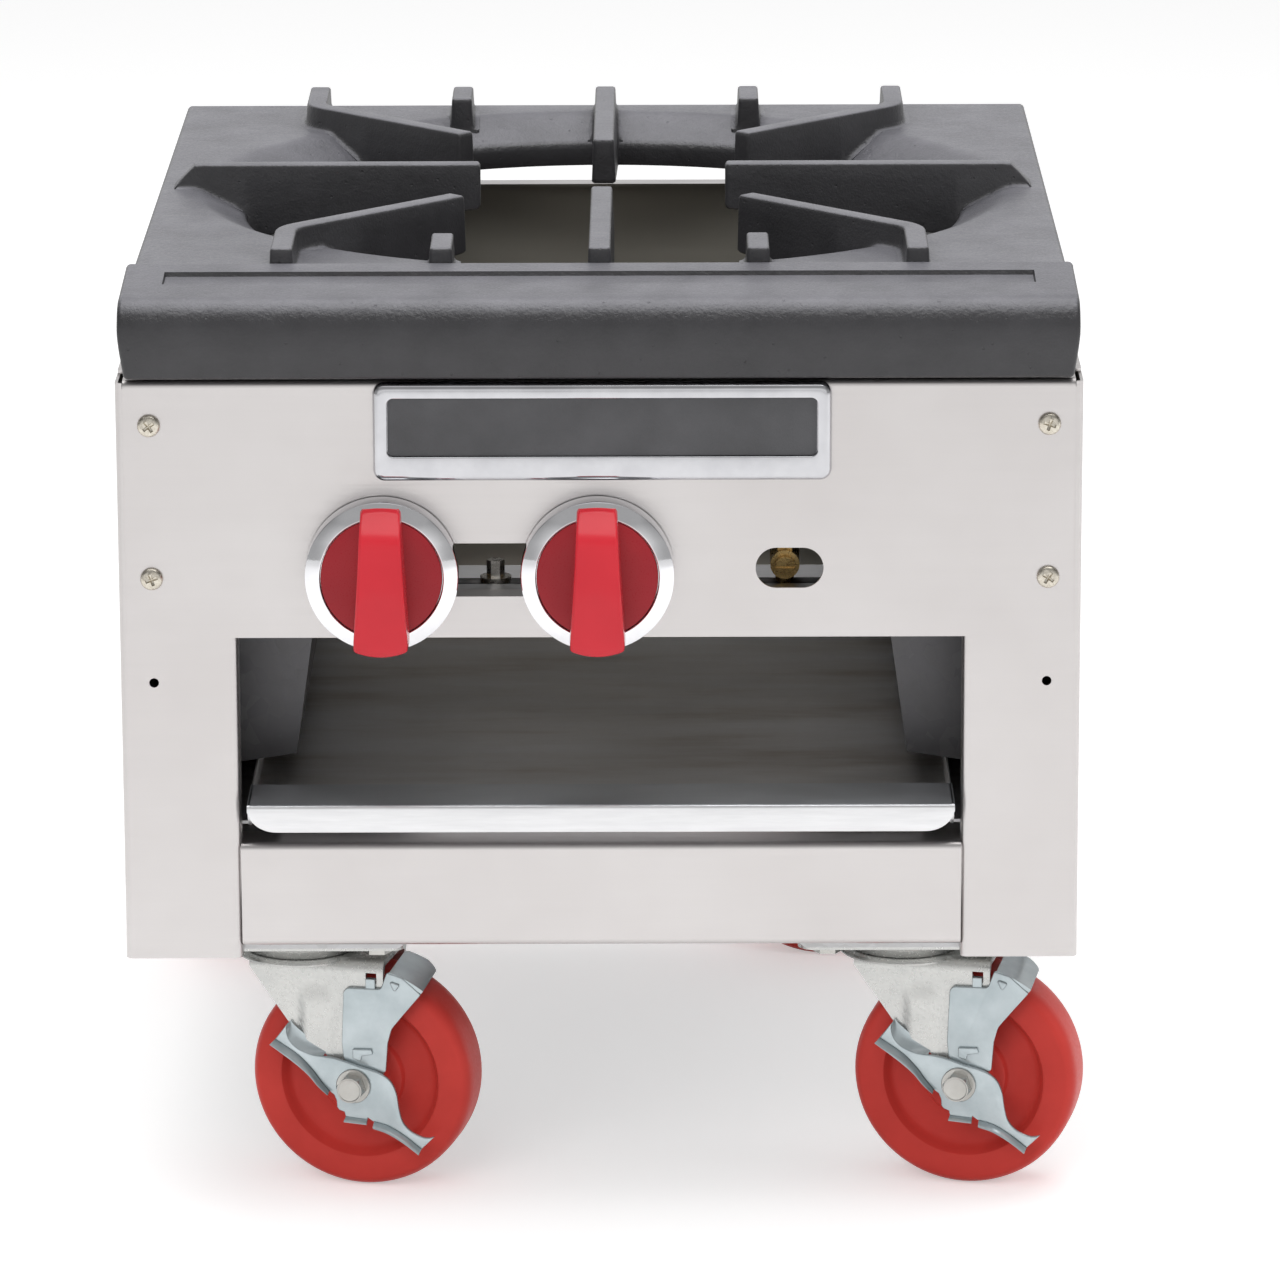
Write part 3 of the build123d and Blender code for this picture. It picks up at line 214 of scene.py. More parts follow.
def lamp(name, place, aim, wide, high, watts):
    """A soft box of the given size at one point, turned to another; only the top one shows in gloss."""
    made = bpy.data.lights.new(name, "AREA")
    made.shape, made.size, made.size_y, made.energy = "RECTANGLE", wide, high, watts
    box = bpy.data.objects.new(name, made)
    away = np.subtract(place, aim)
    flat = math.hypot(away[0], away[1])
    box.location = place
    box.visible_glossy = name == "top_box"
    box.rotation_euler = (math.atan2(flat, away[2]), 0, math.atan2(away[1], away[0]) + math.pi / 2)
    bpy.context.scene.collection.objects.link(box)


lamp("top_box", (0.1, 0.3, 2.6), (0, 0, 0.3), 3.0, 2.4, 46)
lamp("front_box", (-0.9, -2.6, 1.9), (0, 0, 0.25), 1.8, 1.4, 20)
lamp("right_box", (2.5, -0.9, 1.2), (0, 0, 0.25), 1.4, 1.8, 12)

# ---- Cast top --------------------------------------------------------------------------------
# One sand casting in grey iron: a plate dished to a round opening, side skirts, twelve drafted
# fingers and a rounded nose with a bare sunk field. It only rests on the body.
RIM = 414.5
MIDDLE = 31.6
PLATE, LIP, UNDER = 38.3, 25.8, 26.3
POT_REST = 50.0


def skin(name, rings, caps=True, wrap=False, smooth=40, gaps=()):
    """A closed piece over a stack of rings: rings[i, j] is point j of ring i in millimetres. Quad (i, j)
    joins points j and j + 1 of rings i and i + 1; the end rings are filled flat or, on a thin sheet, by a
    strip from its front to its back, or the stack closes on itself. A gap (i, j, k) takes out facing
    quads (i, j) and (i, k) and walls the hole between them. The signed volume, the sum of
    corner . (corner x corner), says which way the faces turn."""
    rings = np.asarray(rings, float) * 0.001
    m, n = rings.shape[:2]
    i = np.arange(m if wrap else m - 1)[:, None]
    j = np.arange(n)[None, :]
    k, right = (i + 1) % m, (j + 1) % n
    quads = np.stack([i * n + j, i * n + right, k * n + right, k * n + j], -1).reshape(-1, 4)
    points = rings.reshape(-1, 3)
    a, b, c, d = (points[quads[:, s]] for s in range(4))
    volume = (a * np.cross(b, c)).sum() + (a * np.cross(c, d)).sum()
    faces = quads.tolist()
    if gaps:
        first, last = min(gap[1] for gap in gaps), max(gap[1] for gap in gaps)
        taken = {row * n + place for row, near, far in gaps for place in (near, far)}
        for row, near, far in gaps:
            a, b, c, d = quads[row * n + near]
            e, f, g, h = quads[row * n + far]
            walls = [[b, c, h, e] if near == last else None, [d, a, f, g] if near == first else None]
            faces += [wall for wall in walls if wall] + [[a, b, e, f], [c, d, g, h]]
        faces = [face for at, face in enumerate(faces) if at not in taken]
    if caps and not wrap:
        s = np.arange(n // 2 - 1)
        strip = np.stack([s, s + 1, n - 2 - s, n - 1 - s], -1)
        ends = [list(range(n))[::-1]], [list(range((m - 1) * n, m * n))]
        if caps == "strip":
            ends = strip[:, ::-1].tolist(), (strip + (m - 1) * n).tolist()
        faces += ends[0] + ends[1]
        for ring, way in ((rings[0], -1), (rings[-1], 1)):
            volume += way * (ring[0] * np.cross(ring[1:-1], ring[2:])).sum()
    if volume < 0:
        faces = [face[::-1] for face in faces]
    mesh = bpy.data.meshes.new(name)
    mesh.from_pydata(points.tolist(), [], faces)
    mesh.validate()
    mesh.polygons.foreach_set("use_smooth", np.ones(len(mesh.polygons), bool))
    mesh.set_sharp_from_angle(angle=math.radians(smooth))
    piece = bpy.data.objects.new(name, mesh)
    bpy.context.scene.collection.objects.link(piece)
    return piece


def joined(name, pieces):
    """Several shells as one piece."""
    with bpy.context.temp_override(
        active_object=pieces[0], object=pieces[0], selected_objects=pieces, selected_editable_objects=pieces
    ):
        bpy.ops.object.join()
    pieces[0].name = pieces[0].data.name = name
    return pieces[0]


def finish(piece, body, slot, look, *nodes):
    """Dress a piece, let it ride on its body and hide the nodes it stands for."""
    paint(piece, look)
    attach(piece, body)
    if nodes:
        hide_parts(*nodes)
    return piece


def rounding(steps):
    """Quarter circle as (share in, share along): 1 - cos and sin of equal angles."""
    turn = np.linspace(0, math.pi / 2, steps + 1)
    return 1 - np.cos(turn), np.sin(turn)


def rounded_loop(points, radii, steps=4):
    """Closed outline with each corner replaced by an arc: the arc starts radius / tan(half the angle) before
    the corner and follows the circle that touches both sides."""
    points = np.asarray(points, float)
    radii = np.broadcast_to(radii, len(points))
    out = []
    for here, before, after, radius in zip(points, np.roll(points, 1, 0), np.roll(points, -1, 0), radii):
        u = (before - here) / np.linalg.norm(before - here)
        v = (after - here) / np.linalg.norm(after - here)
        if radius <= 0 or abs(u[0] * v[1] - u[1] * v[0]) < 1e-3:
            out.append(here[None])
            continue
        half = math.acos(np.clip(u @ v, -1, 1)) / 2
        reach = radius / math.tan(half)
        centre = here + (u + v) / np.linalg.norm(u + v) * radius / math.sin(half)
        start, end = here + u * reach - centre, here + v * reach - centre
        share = np.linspace(0, 1, steps + 1)[:, None]
        angle = math.pi - 2 * half
        arc = np.sin((1 - share) * angle) * start + np.sin(share * angle) * end
        out.append(centre + arc / math.sin(angle))
    return np.concatenate(out)


def drawn_in(loop):
    """Unit vectors that point into a closed outline, one at each point: the mean of its two sides' normals,
    lengthened so that both sides move in by one."""
    sides = np.roll(loop, -1, 0) - loop
    normal = np.stack([-sides[:, 1], sides[:, 0]], -1)
    normal /= np.linalg.norm(normal, axis=1)[:, None] + 1e-12
    area = (loop[:, 0] * np.roll(loop[:, 1], -1) - np.roll(loop[:, 0], -1) * loop[:, 1]).sum()
    normal *= math.copysign(1, area)
    both = normal + np.roll(normal, 1, 0)
    return both / np.maximum((both * normal).sum(1), 0.5)[:, None]


def plate_rings():
    """Plate, dish and skirts by angle and station: circles of radius r about the opening out to the crest,
    then the plate's rectangle drawn in by an inset, met along the same ray, and back underneath."""
    right, rear, front = 224.7, 228.4, 221.0
    corners = [math.atan2(y, x) for x in (-right, right) for y in (-front, rear)]
    extra = np.concatenate([np.array(corners) + s for s in (-2e-4, 0, 2e-4)])
    angle = np.sort(np.concatenate([np.linspace(-math.pi, math.pi, 288, endpoint=False), extra]))
    ux, uy = np.cos(angle), np.sin(angle)

    def circle(r, z):
        return np.stack([r * ux, r * uy, np.full_like(ux, z)], -1)

    def box(inset, z):
        y_edge = np.where(uy > 0, rear - inset, front - inset)
        reach = np.minimum((right - inset) / np.maximum(abs(ux), 1e-9), y_edge / np.maximum(abs(uy), 1e-9))
        return np.stack([reach * ux, reach * uy, np.broadcast_to(z, ux.shape)], -1)

    side = right * abs(uy) < np.where(uy > 0, rear, front) * abs(ux)
    low = np.where(side, 0.0, UNDER)
    rings = [circle(r, z) for r, z in (
        (183, 14.3), (181, 13.9), (180.2, 14.6), (180, 16), (180, 22.6), (180.4, 24.4), (181.6, 25.9),
        (184, 27.4), (193, 32.2), (201, 36.4), (203.6, 37.5), (206, 38.1), (209, PLATE))]
    edge = ((8, 0), (4, 0), (2.4, 0.3), (1.2, 1.1), (0.4, 2.2), (0, 4))
    rings += [box(inset, PLATE - drop) for inset, drop in edge]
    rings += [box(0, low + 1.5), box(0.5, low + 0.4), box(1.5, low), box(10.5, low)]
    rings += [box(12, low + 1.5 * side)]
    rings += [box(12, UNDER), circle(208, UNDER), circle(205, 26.0)]
    return np.stack(rings) + (0, MIDDLE, RIM)


plate = skin("cast_plate", plate_rings(), wrap=True, smooth=32)


def strip_rings():
    """Front strip and nose: one profile across the depth carried along X. Near the ends the profile shrinks
    by r (1 - cos), and the ends draw in towards the bottom edge. The bare field is let in by 2 mm where
    both its long and its short edges are passed, with a wall 0.5 mm wide."""
    profile = rounded_loop(
        [(-186, 43.2), (-260, 37.8), (-260, 17), (-257, 1.5), (-244, 1.5), (-243, UNDER), (-186, UNDER)],
        [1.6, 16, 30, 2.5, 2, 4, 0.5], 7)
    top = np.array([-189, -194, -198, -201.8, -202.4, -202.9, -203.6, -208, -213, -218, -221.4, -222.1,
                    -222.6, -223.3, -230, -236, -241])
    top = np.stack([top, 43.2 + (top + 186) * 5.4 / 74], -1)
    profile = np.concatenate([profile[:8], top, profile[8:]])
    inward, along = rounding(6)
    end = 226.3 - 2.4 + 2.4 * along[::-1]
    inner = np.concatenate([[-211, -207.6, -207, -206.5, -205.8], np.linspace(-202, 202, 70),
                            [205.8, 206.5, 207, 207.6, 211]])
    x = np.concatenate([-end, inner, end[::-1]])
    inset = np.concatenate([2.4 * inward[::-1], 0 * inner, 2.4 * inward])
    rings = np.zeros((len(x), len(profile), 3))
    rings[..., 1:] = profile[None] + drawn_in(profile)[None] * inset[:, None, None]
    y, z = rings[..., 1], rings[..., 2]
    lean = 2.9 * np.clip((24 - z) / 24, 0, 1) ** 1.2
    rings[..., 0] = x[:, None] * (1 - lean / 226.3 * (np.clip(abs(x) - 190, 0, 36.3) / 36.3)[:, None])
    long_way = np.interp(abs(y + 212.25), [9.65, 10.15], [1, 0])
    short_way = np.interp(abs(rings[..., 0]), [206.5, 207], [1, 0])
    on_top = (z > 36) & (y > -240)
    rings[..., 2] -= 2.0 * long_way * short_way * on_top
    return rings + (0, 0, RIM)


strip = skin("cast_strip", strip_rings(), smooth=38)


def finger_rings(line, slope=False, turn=9.0):
    """One finger along its plan line. At distance s the section has half width 5.25, growing downwards by the
    draft, a rounded top, a foot that flares by a quarter circle on the plate, and a bottom that follows the
    opening's underside; it draws in by r (1 - cos) at both ends."""
    line = np.asarray(line, float)
    if len(line) == 3:
        a, b = line[0] - line[1], line[2] - line[1]
        a, b = a / np.linalg.norm(a), b / np.linalg.norm(b)
        share = np.linspace(0, 1, 9)[:, None]
        bend = line[1] + turn * ((1 - share) ** 2 * a + share ** 2 * b)
        line = np.concatenate([line[:1], bend, line[2:]])
    gone = np.concatenate([[0], np.cumsum(np.linalg.norm(np.diff(line, axis=0), axis=1))])
    reach = gone[-1]
    inward, along = rounding(4)
    ends = 2.0 * (1 - along[::-1])
    middle = np.linspace(3, reach - 3, max(6, int(reach / 4)))
    s = np.unique(np.concatenate([ends, middle, gone[1:-1], reach - ends]))
    s = s[(s >= 0) & (s <= reach)]
    at = np.stack([np.interp(s, gone, line[:, i]) for i in (0, 1)], -1)
    way = np.gradient(at, s, axis=0)
    way /= np.linalg.norm(way, axis=1)[:, None]
    off = np.stack([-way[:, 1], way[:, 0]], -1)
    radius = np.linalg.norm(at, axis=1)
    from_end = np.minimum(s, reach - s)
    inset = 2.0 - np.sqrt(np.clip(4.0 - (2.0 - np.minimum(from_end, 2.0)) ** 2, 0, 4))
    top = np.full_like(s, POT_REST)
    if slope:
        top = np.minimum(top, POT_REST - np.clip(radius - 206.2, 0, 20) * 1.02)
    top = np.maximum(top - inset, PLATE - 1.0)
    ground = np.interp(radius, [180, 181, 205, 208], [LIP, LIP + 0.5, PLATE - 0.2, PLATE])
    on_plate = np.interp(radius, [179.9, 180.1], [0, 1])
    bottom = np.interp(radius, [62, 180, 205, 206], [28.0, 13.8, UNDER, UNDER]) + inset
    bottom = np.where(on_plate > 0, np.minimum(bottom + 3, ground - 3), bottom)
    share = np.array([0, 0.05, 0.12, 0.25, 0.5, 0.75, 1.0])
    flare_at = np.array([-1.0, 0, 0.5, 1.1, 1.9, 2.8, 4.0])
    plain = bottom[:, None] + (top - 1.6 - bottom)[:, None] * share
    foot = np.minimum(ground[:, None] + flare_at, (top - 1.6)[:, None])
    foot[:, 0] = bottom
    foot[:, -1] = top - 1.6
    levels = np.where(on_plate[:, None] > 0, foot, plain)
    drawn, lift = rounding(4)
    half = 5.25 - inset[:, None] + (POT_REST - levels) * math.tan(math.radians(2.4))
    rise = np.clip(1 - (levels - ground[:, None]) / 3.2, 0, 1)
    half = half + on_plate[:, None] * 3.2 * (1 - np.sqrt(np.clip(1 - rise ** 2, 0, 1)))
    crown_half = half[:, -1:] - 1.6 * drawn[1:]
    crown = (top - 1.6)[:, None] + 1.6 * lift[1:]
    base_half = half[:, :1] - 1.5 * (1 - on_plate[:, None]) * np.array([1.0, 0.45])
    base = levels[:, :1] - 1.5 * (1 - on_plate[:, None]) * np.array([0.75, 0.4])
    side_half = np.concatenate([base_half, half, crown_half], 1)
    side_z = np.concatenate([base, levels, crown], 1)
    both_half = np.concatenate([side_half, -side_half[:, ::-1]], 1)
    both_z = np.concatenate([side_z, side_z[:, ::-1]], 1)
    rings = np.empty(both_half.shape + (3,))
    rings[..., :2] = at[:, None] + off[:, None] * both_half[..., None]
    rings[..., 2] = both_z
    return rings + (0, MIDDLE, RIM)


fingers = []
for x in (-1, 1):
    for y in (-1, 1):
        tip, knee = (71.0 * x, 82.5 * y), (152.3 * x, 163.4 * y)
        fingers.append(skin("finger", finger_rings([tip, knee, (knee[0], 217.6 * y)])))
        fingers.append(skin("finger", finger_rings([(76.0 * x, 179.0 * y), (76.0 * x, 217.6 * y)])))
    fingers.append(skin("finger", finger_rings([(0, 62.0 * x), (0, 217.6 * x)])))
    fingers.append(skin("finger", finger_rings([(62.0 * x, 0), (217.6 * x, 0)], slope=True)))
fingers = joined("cast_fingers", fingers)


cast_iron, tree, shader = material("sand_cast_iron")
grain = texture(tree, "ShaderNodeTexNoise", 900, 2, 0.6)
coarse = texture(tree, "ShaderNodeTexNoise", 330, 3, 0.65)
swell = texture(tree, "ShaderNodeTexNoise", 38, 5, 0.6)
pits = texture(tree, "ShaderNodeTexVoronoi", 130)
# Faces turned upwards take a lighter grey than the sides: a painted sheen standing for the top light's gloss
# on the flat faces.
up = span(tree, facing(tree, 2), 0.55, 0.97)
dark = ramp(tree, swell, (0.30, (0.028, 0.0275, 0.0300, 1)), (0.70, (0.042, 0.0412, 0.0450, 1)))
painted_top_sheen = ramp(tree, swell, (0.30, (0.125, 0.124, 0.139, 1)), (0.70, (0.175, 0.173, 0.193, 1)))
tree.links.new(blended(tree, up, dark, painted_top_sheen), shader.inputs["Base Color"])
tree.links.new(ramp(tree, grain, (0.3, grey(0.34)), (0.7, grey(0.48))), shader.inputs["Roughness"])
upward = facing(tree, 2)
band = sums(tree, "MULTIPLY", span(tree, upward, 0.97, 0.80), span(tree, upward, 0.20, 0.50))
sand = sums(tree, "MULTIPLY", coarse, sums(tree, "MULTIPLY_ADD", band, 0.75, 0.25))
bumps(tree, shader, (ramp(tree, pits, (0.0, grey(0)), (0.10, grey(1))), 0.0004), (swell, 0.0006),
      (sand, 0.0007), (grain, 0.00016))

finish(plate, "cast_top", "cast_top", cast_iron, "grate_top")
finish(strip, "cast_top", "cast_top", cast_iron)
finish(fingers, "cast_top", "cast_top", cast_iron)

# ---- Sheet-metal body ------------------------------------------------------------------------
# Panel, leg sides, back and crossbars in satin stainless sheet, folded and screwed together. The
# outside keeps its mill polish; sheet that faces the fire is painted dark brown, partly as heat stain
# and partly as painted shade where little light reaches.
def stain_shade_share(tree):
    """One on sheet that faces the fire, painted dark brown there as heat stain and painted shade: sides that
    look inwards (x times their facing is negative) and the back's front face, both behind the front legs."""
    place = tree.nodes.new("ShaderNodeTexCoord")
    parts = tree.nodes.new("ShaderNodeSeparateXYZ")
    tree.links.new(place.outputs["Object"], parts.inputs[0])
    inwards = span(tree, sums(tree, "MULTIPLY", parts.outputs[0], facing(tree, 0)), -0.05, -0.15)
    at_back = span(tree, parts.outputs[1], 0.19, 0.20)
    rear = sums(tree, "MULTIPLY", at_back, span(tree, facing(tree, 1), -0.4, -0.8))
    behind = span(tree, parts.outputs[1], -0.236, -0.232)
    return sums(tree, "MULTIPLY", sums(tree, "MAXIMUM", inwards, rear), behind)


stainless, tree, shader = material("satin_stainless", Metallic=1.0)
cloud = texture(tree, "ShaderNodeTexNoise", 9, 3, 0.55)
brushed = texture(tree, "ShaderNodeTexNoise", 260, 2, 0.5, stretch=(0.06, 1, 6))
clean = ramp(tree, cloud, (0.30, (0.560, 0.534, 0.527, 1)), (0.70, (0.602, 0.579, 0.573, 1)))
heat_stain_and_shade = stain_shade_share(tree)
# Fire-facing sheet is blended to dark brown and made less metallic: partly heat stain, partly painted shade
# for the dimly lit cavity.
tree.links.new(blended(tree, heat_stain_and_shade, clean, (0.270, 0.255, 0.218, 1)), shader.inputs["Base Color"])
tree.links.new(sums(tree, "SUBTRACT", 1.0, sums(tree, "MULTIPLY", heat_stain_and_shade, 0.55)), shader.inputs["Metallic"])
tree.links.new(ramp(tree, brushed, (0.3, grey(0.29)), (0.7, grey(0.37))), shader.inputs["Roughness"])
bumps(tree, shader, (cloud, 0.0005), (brushed, 0.000012))

for name in ("front_panel", "left_side", "right_side", "back_panel", "front_crossbar", "rear_crossbar"):
    paint(frame["nodes"][name], stainless)

# The panel is held by four nickel-plated pan-head screws with cross recesses.
def cross_outline(turn, length, width):
    """Outline of a cross by angle: the farther of two crossed bars' edges along each ray."""
    c, s = np.maximum(abs(np.cos(turn)), 1e-6), np.maximum(abs(np.sin(turn)), 1e-6)
    return np.maximum(np.minimum(length / c, width / s), np.minimum(length / s, width / c))


def pan_head(x, z):
    """Screw head: circles from the panel up a short side and over a low dome, in to a cross that tapers
    down to the middle."""
    tip = math.atan2(0.75, 2.9)
    one = np.array([-tip, -0.12, 0, 0.12, tip, 0.42, 0.62, math.pi / 4,
                    math.pi / 2 - 0.62, math.pi / 2 - 0.42])
    turn = np.concatenate([one + quarter * math.pi / 2 for quarter in range(4)])
    circle = np.stack([np.cos(turn), np.sin(turn)], -1)
    cross = circle * cross_outline(turn, 2.9, 0.75)[:, None]
    dome = ((5.1, 0), (5.35, 0.3), (5.4, 0.9), (5.2, 1.6), (4.7, 2.2), (3.9, 2.6))
    recess = ((1.04, 2.95), (1, 2.85), (0.93, 2.2), (0.6, 1.7), (0.12, 1.3))
    rings = [(circle * r, h) for r, h in dome] + [(cross * share, h) for share, h in recess]
    flat = np.stack([loop for loop, h in rings])
    rise = np.array([h for loop, h in rings])[:, None] * np.ones(len(turn))
    twist = math.radians(20 + 37 * (x > 0) + 15 * (z > 350))
    c, s = math.cos(twist), math.sin(twist)
    u, v = flat[..., 0] * c - flat[..., 1] * s, flat[..., 0] * s + flat[..., 1] * c
    return skin("screw", np.stack([x + u, -252.0 - rise, z + v], -1), smooth=35)


nickel = mottled("screw_nickel", (700, 3, 0.6),
                 ((0.35, (0.50, 0.46, 0.39, 1)), (0.65, (0.66, 0.62, 0.54, 1))),
                 None, (0.20, 0.34), [0.00003], at=(0.35, 0.65), Metallic=1.0)
screws = joined("screw_heads", [pan_head(x, z) for x in (-212.5, 212.5) for z in (393.0, 318.6)])
finish(screws, "range_body", "screw", nickel, "panel_screws")

# ---- Badge -----------------------------------------------------------------------------------
# Die-cast frame, polished and plated, fixed to the panel under the nose: a rounded edge, a flat
# face and a sunk field that takes a thin dark plate. Field and face are bare.
def round_box(x, z, wide, high, corner, steps=7):
    """Rounded rectangle in the plane of the panel."""
    half, tall = wide / 2, high / 2
    corners = [(x - half, z - tall), (x + half, z - tall), (x + half, z + tall), (x - half, z + tall)]
    return rounded_loop(corners, corner, steps)


def frame_rings(x=1.5, z=390.2, face=-257.0):
    """Rounded rectangles from the panel out over a quarter circle of 3.6 mm, across the flat face and over
    a small edge down to the field's floor."""
    inward, along = rounding(7)
    rings = [(round_box(x, z, 216.5, 47.4, 5.5), -252.0)]
    rings += [(round_box(x, z, 216.5 - 7.2 * i, 47.4 - 7.2 * i, 5.5 - 2.6 * i), face + 3.6 - 3.6 * a)
              for i, a in zip(inward, along)]
    rings += [(round_box(x, 392.6, 203 + 1.4 - 1.4 * a, 28 + 1.4 - 1.4 * a, 3.7 - 0.7 * a), face + 0.7 * i)
              for i, a in zip(inward, along)]
    rings += [(round_box(x, 392.6, 203, 28, 3.0), face + 2.6)]
    return np.stack([np.stack([loop[:, 0], np.full(len(loop), y), loop[:, 1]], -1) for loop, y in rings])


polished = mottled("polished_plate", (60, 3, 0.6),
                   ((0.3, (0.49, 0.49, 0.51, 1)), (0.7, (0.57, 0.57, 0.59, 1))),
                   None, (0.07, 0.13), [0.00008], Metallic=1.0)
finish(skin("badge_casting", frame_rings(), smooth=50), "range_body", "badge_metal", polished, "badge_frame")

field = mottled("textured_black_enamel", (35, 3, 0.5),
                ((0.3, (0.058, 0.058, 0.062, 1)), (0.7, (0.082, 0.082, 0.088, 1))),
                (1400, 2, 0.5), (0.38, 0.55), [0.00012])
paint(frame["nodes"]["badge_field"], field)

# ---- Knobs -----------------------------------------------------------------------------------
# Moulded red handle, a disc with a tapered finger bar, pressed into a chrome-plated bezel with one
# wide bevel. Each pair turns with its valve stem.
VALVE_HEIGHT = 322.5
BEZEL_FACE = -269.0


def turned(name, x, z, outline, count=72, smooth=35):
    """Lathe work about an axis along Y: each (radius, y) of the outline swept round in equal steps."""
    turn = np.linspace(0, 2 * math.pi, count, endpoint=False)
    rows = [np.stack([x + r * np.cos(turn), np.full(count, y), z + r * np.sin(turn)], -1) for r, y in outline]
    return skin(name, np.stack(rows), smooth=smooth)


def bezel(x):
    f = BEZEL_FACE
    outline = [(34.0, -253.5), (36.1, -253.5), (36.35, -253.9), (36.35, f + 3.3), (36.2, f + 2.85),
               (35.8, f + 2.5), (30.2, f + 0.25), (29.9, f + 0.08), (29.6, f), (29.35, f + 0.1),
               (29.2, f + 0.4), (29.2, f + 2.8), (29.0, f + 3.0), (9.0, f + 3.0), (9.0, f + 6.0),
               (31, f + 6.0), (33.5, f + 7.0), (34.0, f + 9.0)]
    return turned("bezel", x, VALVE_HEIGHT, outline, 96, 30)


def disc(x):
    f = BEZEL_FACE
    outline = [(28.6, f + 2.9), (28.8, f + 2.6), (28.8, f + 0.9), (28.6, f + 0.5), (28.1, f + 0.35),
               (20, f + 0.25), (8, f + 0.2), (0.2, f + 0.2)]
    return turned("disc", x, VALVE_HEIGHT, outline, 80, 40)


def finger_bar(x):
    """Bar by height and way round: its front stands proud by a curve of height, its half width grows
    towards the foot, its long edges are quarter circles of 1.5 mm, and its foot is an arc that rolls
    under."""
    inward, along = rounding(5)
    height = np.concatenate([34.7 - 1.2 * inward, np.linspace(32.6, 16.0, 18), np.linspace(14.5, -29.5, 20),
                             -31.6 - 2.2 * along[1:]])
    proud = np.interp(height, [-33.8, -6.4, 21.0, 24.5, 34.7], [19.6, 20.0, 17.6, 15.2, 2.4])
    proud = np.convolve(np.pad(proud, 3, "edge"), np.array([1, 2, 3, 4, 3, 2, 1]) / 16, "valid")
    proud[:6] -= 1.2 * inward[::-1]
    proud[-5:] -= 2.6 * inward[1:]
    half = np.interp(height, [-33.8, -26, 8, 24, 33.2, 34.7], [12.9, 12.7, 10.5, 9.75, 9.2, 8.2])
    half[-5:] -= 1.6 * inward[1:]
    back = np.interp(height, [-34.8, -27.7, 0], [7.0, 0.6, -0.4])
    proud = np.maximum(proud, back + 1.0)
    edge = np.minimum(1.5, (proud - back) / 2)[:, None]
    side = back[:, None] + (proud[:, None] - edge - back[:, None]) * np.linspace(0, 1, 6)
    half_side = half[:, None] + 0.35 - 0.35 * np.linspace(0, 1, 6)
    half_edge = half[:, None] - edge * inward[1:]
    out_edge = proud[:, None] - edge + edge * along[1:]
    across = np.linspace(1, 0, 5)[1:]
    half_front = (half[:, None] - edge) * across
    out_front = proud[:, None] + 0.35 * (1 - across ** 2)
    u = np.concatenate([half_side, half_edge, half_front], 1)
    v = np.concatenate([side, out_edge, out_front], 1)
    u = np.concatenate([u, -u[:, -2::-1]], 1)
    v = np.concatenate([v, v[:, -2::-1]], 1)
    sag = 2.6 * np.clip((-22 - height) / 11.8, 0, 1)[:, None] * (u / 12.9) ** 2
    roll = 0.9 * np.clip((height - 30) / 4.7, 0, 1)[:, None] * (u / 9.2) ** 2
    z = VALVE_HEIGHT + height[:, None] + sag - roll
    rings = np.stack([x + u, BEZEL_FACE - np.minimum(v, 20.0), z], -1)
    return skin("bar", rings, smooth=50)


chrome = mottled("bright_chrome", (90, 3, 0.6),
                 ((0.3, (0.77, 0.77, 0.79, 1)), (0.7, (0.83, 0.83, 0.85, 1))),
                 None, (0.05, 0.09), [0.00003], Metallic=1.0)


def red_plastic(name, low, high, rough):
    """Moulded plastic: a faint drift of tone and a very fine satin grain."""
    return mottled(name, (30, 3, 0.5), ((0.3, low), (0.7, high)),
                   (1500, 2, 0.5), (rough - 0.04, rough + 0.04), [0.00002], Specular_IOR_Level=0.3)


bar_red = red_plastic("knob_bar_red", (0.64, 0.024, 0.038, 1), (0.71, 0.029, 0.045, 1), 0.22)
# The disc takes a darker red than the bar: painted shade, standing for the shade and dark reflection the bar
# throws on it.
shaded_disc_red = red_plastic("knob_disc_red", (0.31, 0.010, 0.018, 1), (0.36, 0.013, 0.022, 1), 0.30)
for word, x in (("left", -103.0), ("centre", -1.0)):
    finish(bezel(x), f"{word}_knob", "knob_chrome", chrome, f"{word}_knob_skirt")
    finish(finger_bar(x), f"{word}_knob", "knob_red", bar_red, f"{word}_knob_handle")
    finish(disc(x), f"{word}_knob", "knob_red", shaded_disc_red)

# ---- Gas line --------------------------------------------------------------------------------
# Black malleable pipe behind the panel with its cap, elbow and supply drop, two brass valves with
# steel stems, a plugged tapping, a pilot valve and its bright tube. Screwed joints sealed with dope.
def dress(look, *slots):
    """Gives every CAD piece of these slots its material; its shape stays as it is."""
    for entry in frame["record"]["subparts"]:
        if entry["material_slot"] in slots and entry["node"] in frame["nodes"]:
            paint(frame["nodes"][entry["node"]], look)


rust_tones = ((0.40, (0.012, 0.012, 0.013, 1)), (0.60, (0.020, 0.017, 0.015, 1)),
              (0.78, (0.090, 0.034, 0.016, 1)))
black_pipe = mottled("black_pipe", (46, 5, 0.62), rust_tones, (140, 4, 0.6), (0.34, 0.58),
                     [0.00025, 0.0003], Specular_IOR_Level=0.4)
dress(black_pipe, "gas_pipe")

tarnish = ((0.32, (0.42, 0.27, 0.10, 1)), (0.68, (0.70, 0.50, 0.22, 1)))
brass = mottled("turned_brass", (70, 4, 0.6), tarnish, (900, 2, 0.5, (1, 0.05, 1)), (0.22, 0.36),
                [0.00004, 0.00008], Metallic=1.0)
dress(brass, "brass")

wear = ((0.32, (0.50, 0.47, 0.42, 1)), (0.68, (0.72, 0.70, 0.66, 1)))
stem_steel = mottled("stem_steel", (160, 4, 0.6), wear, None, (0.22, 0.34), [0.00006], Metallic=1.0)
dress(stem_steel, "stem")

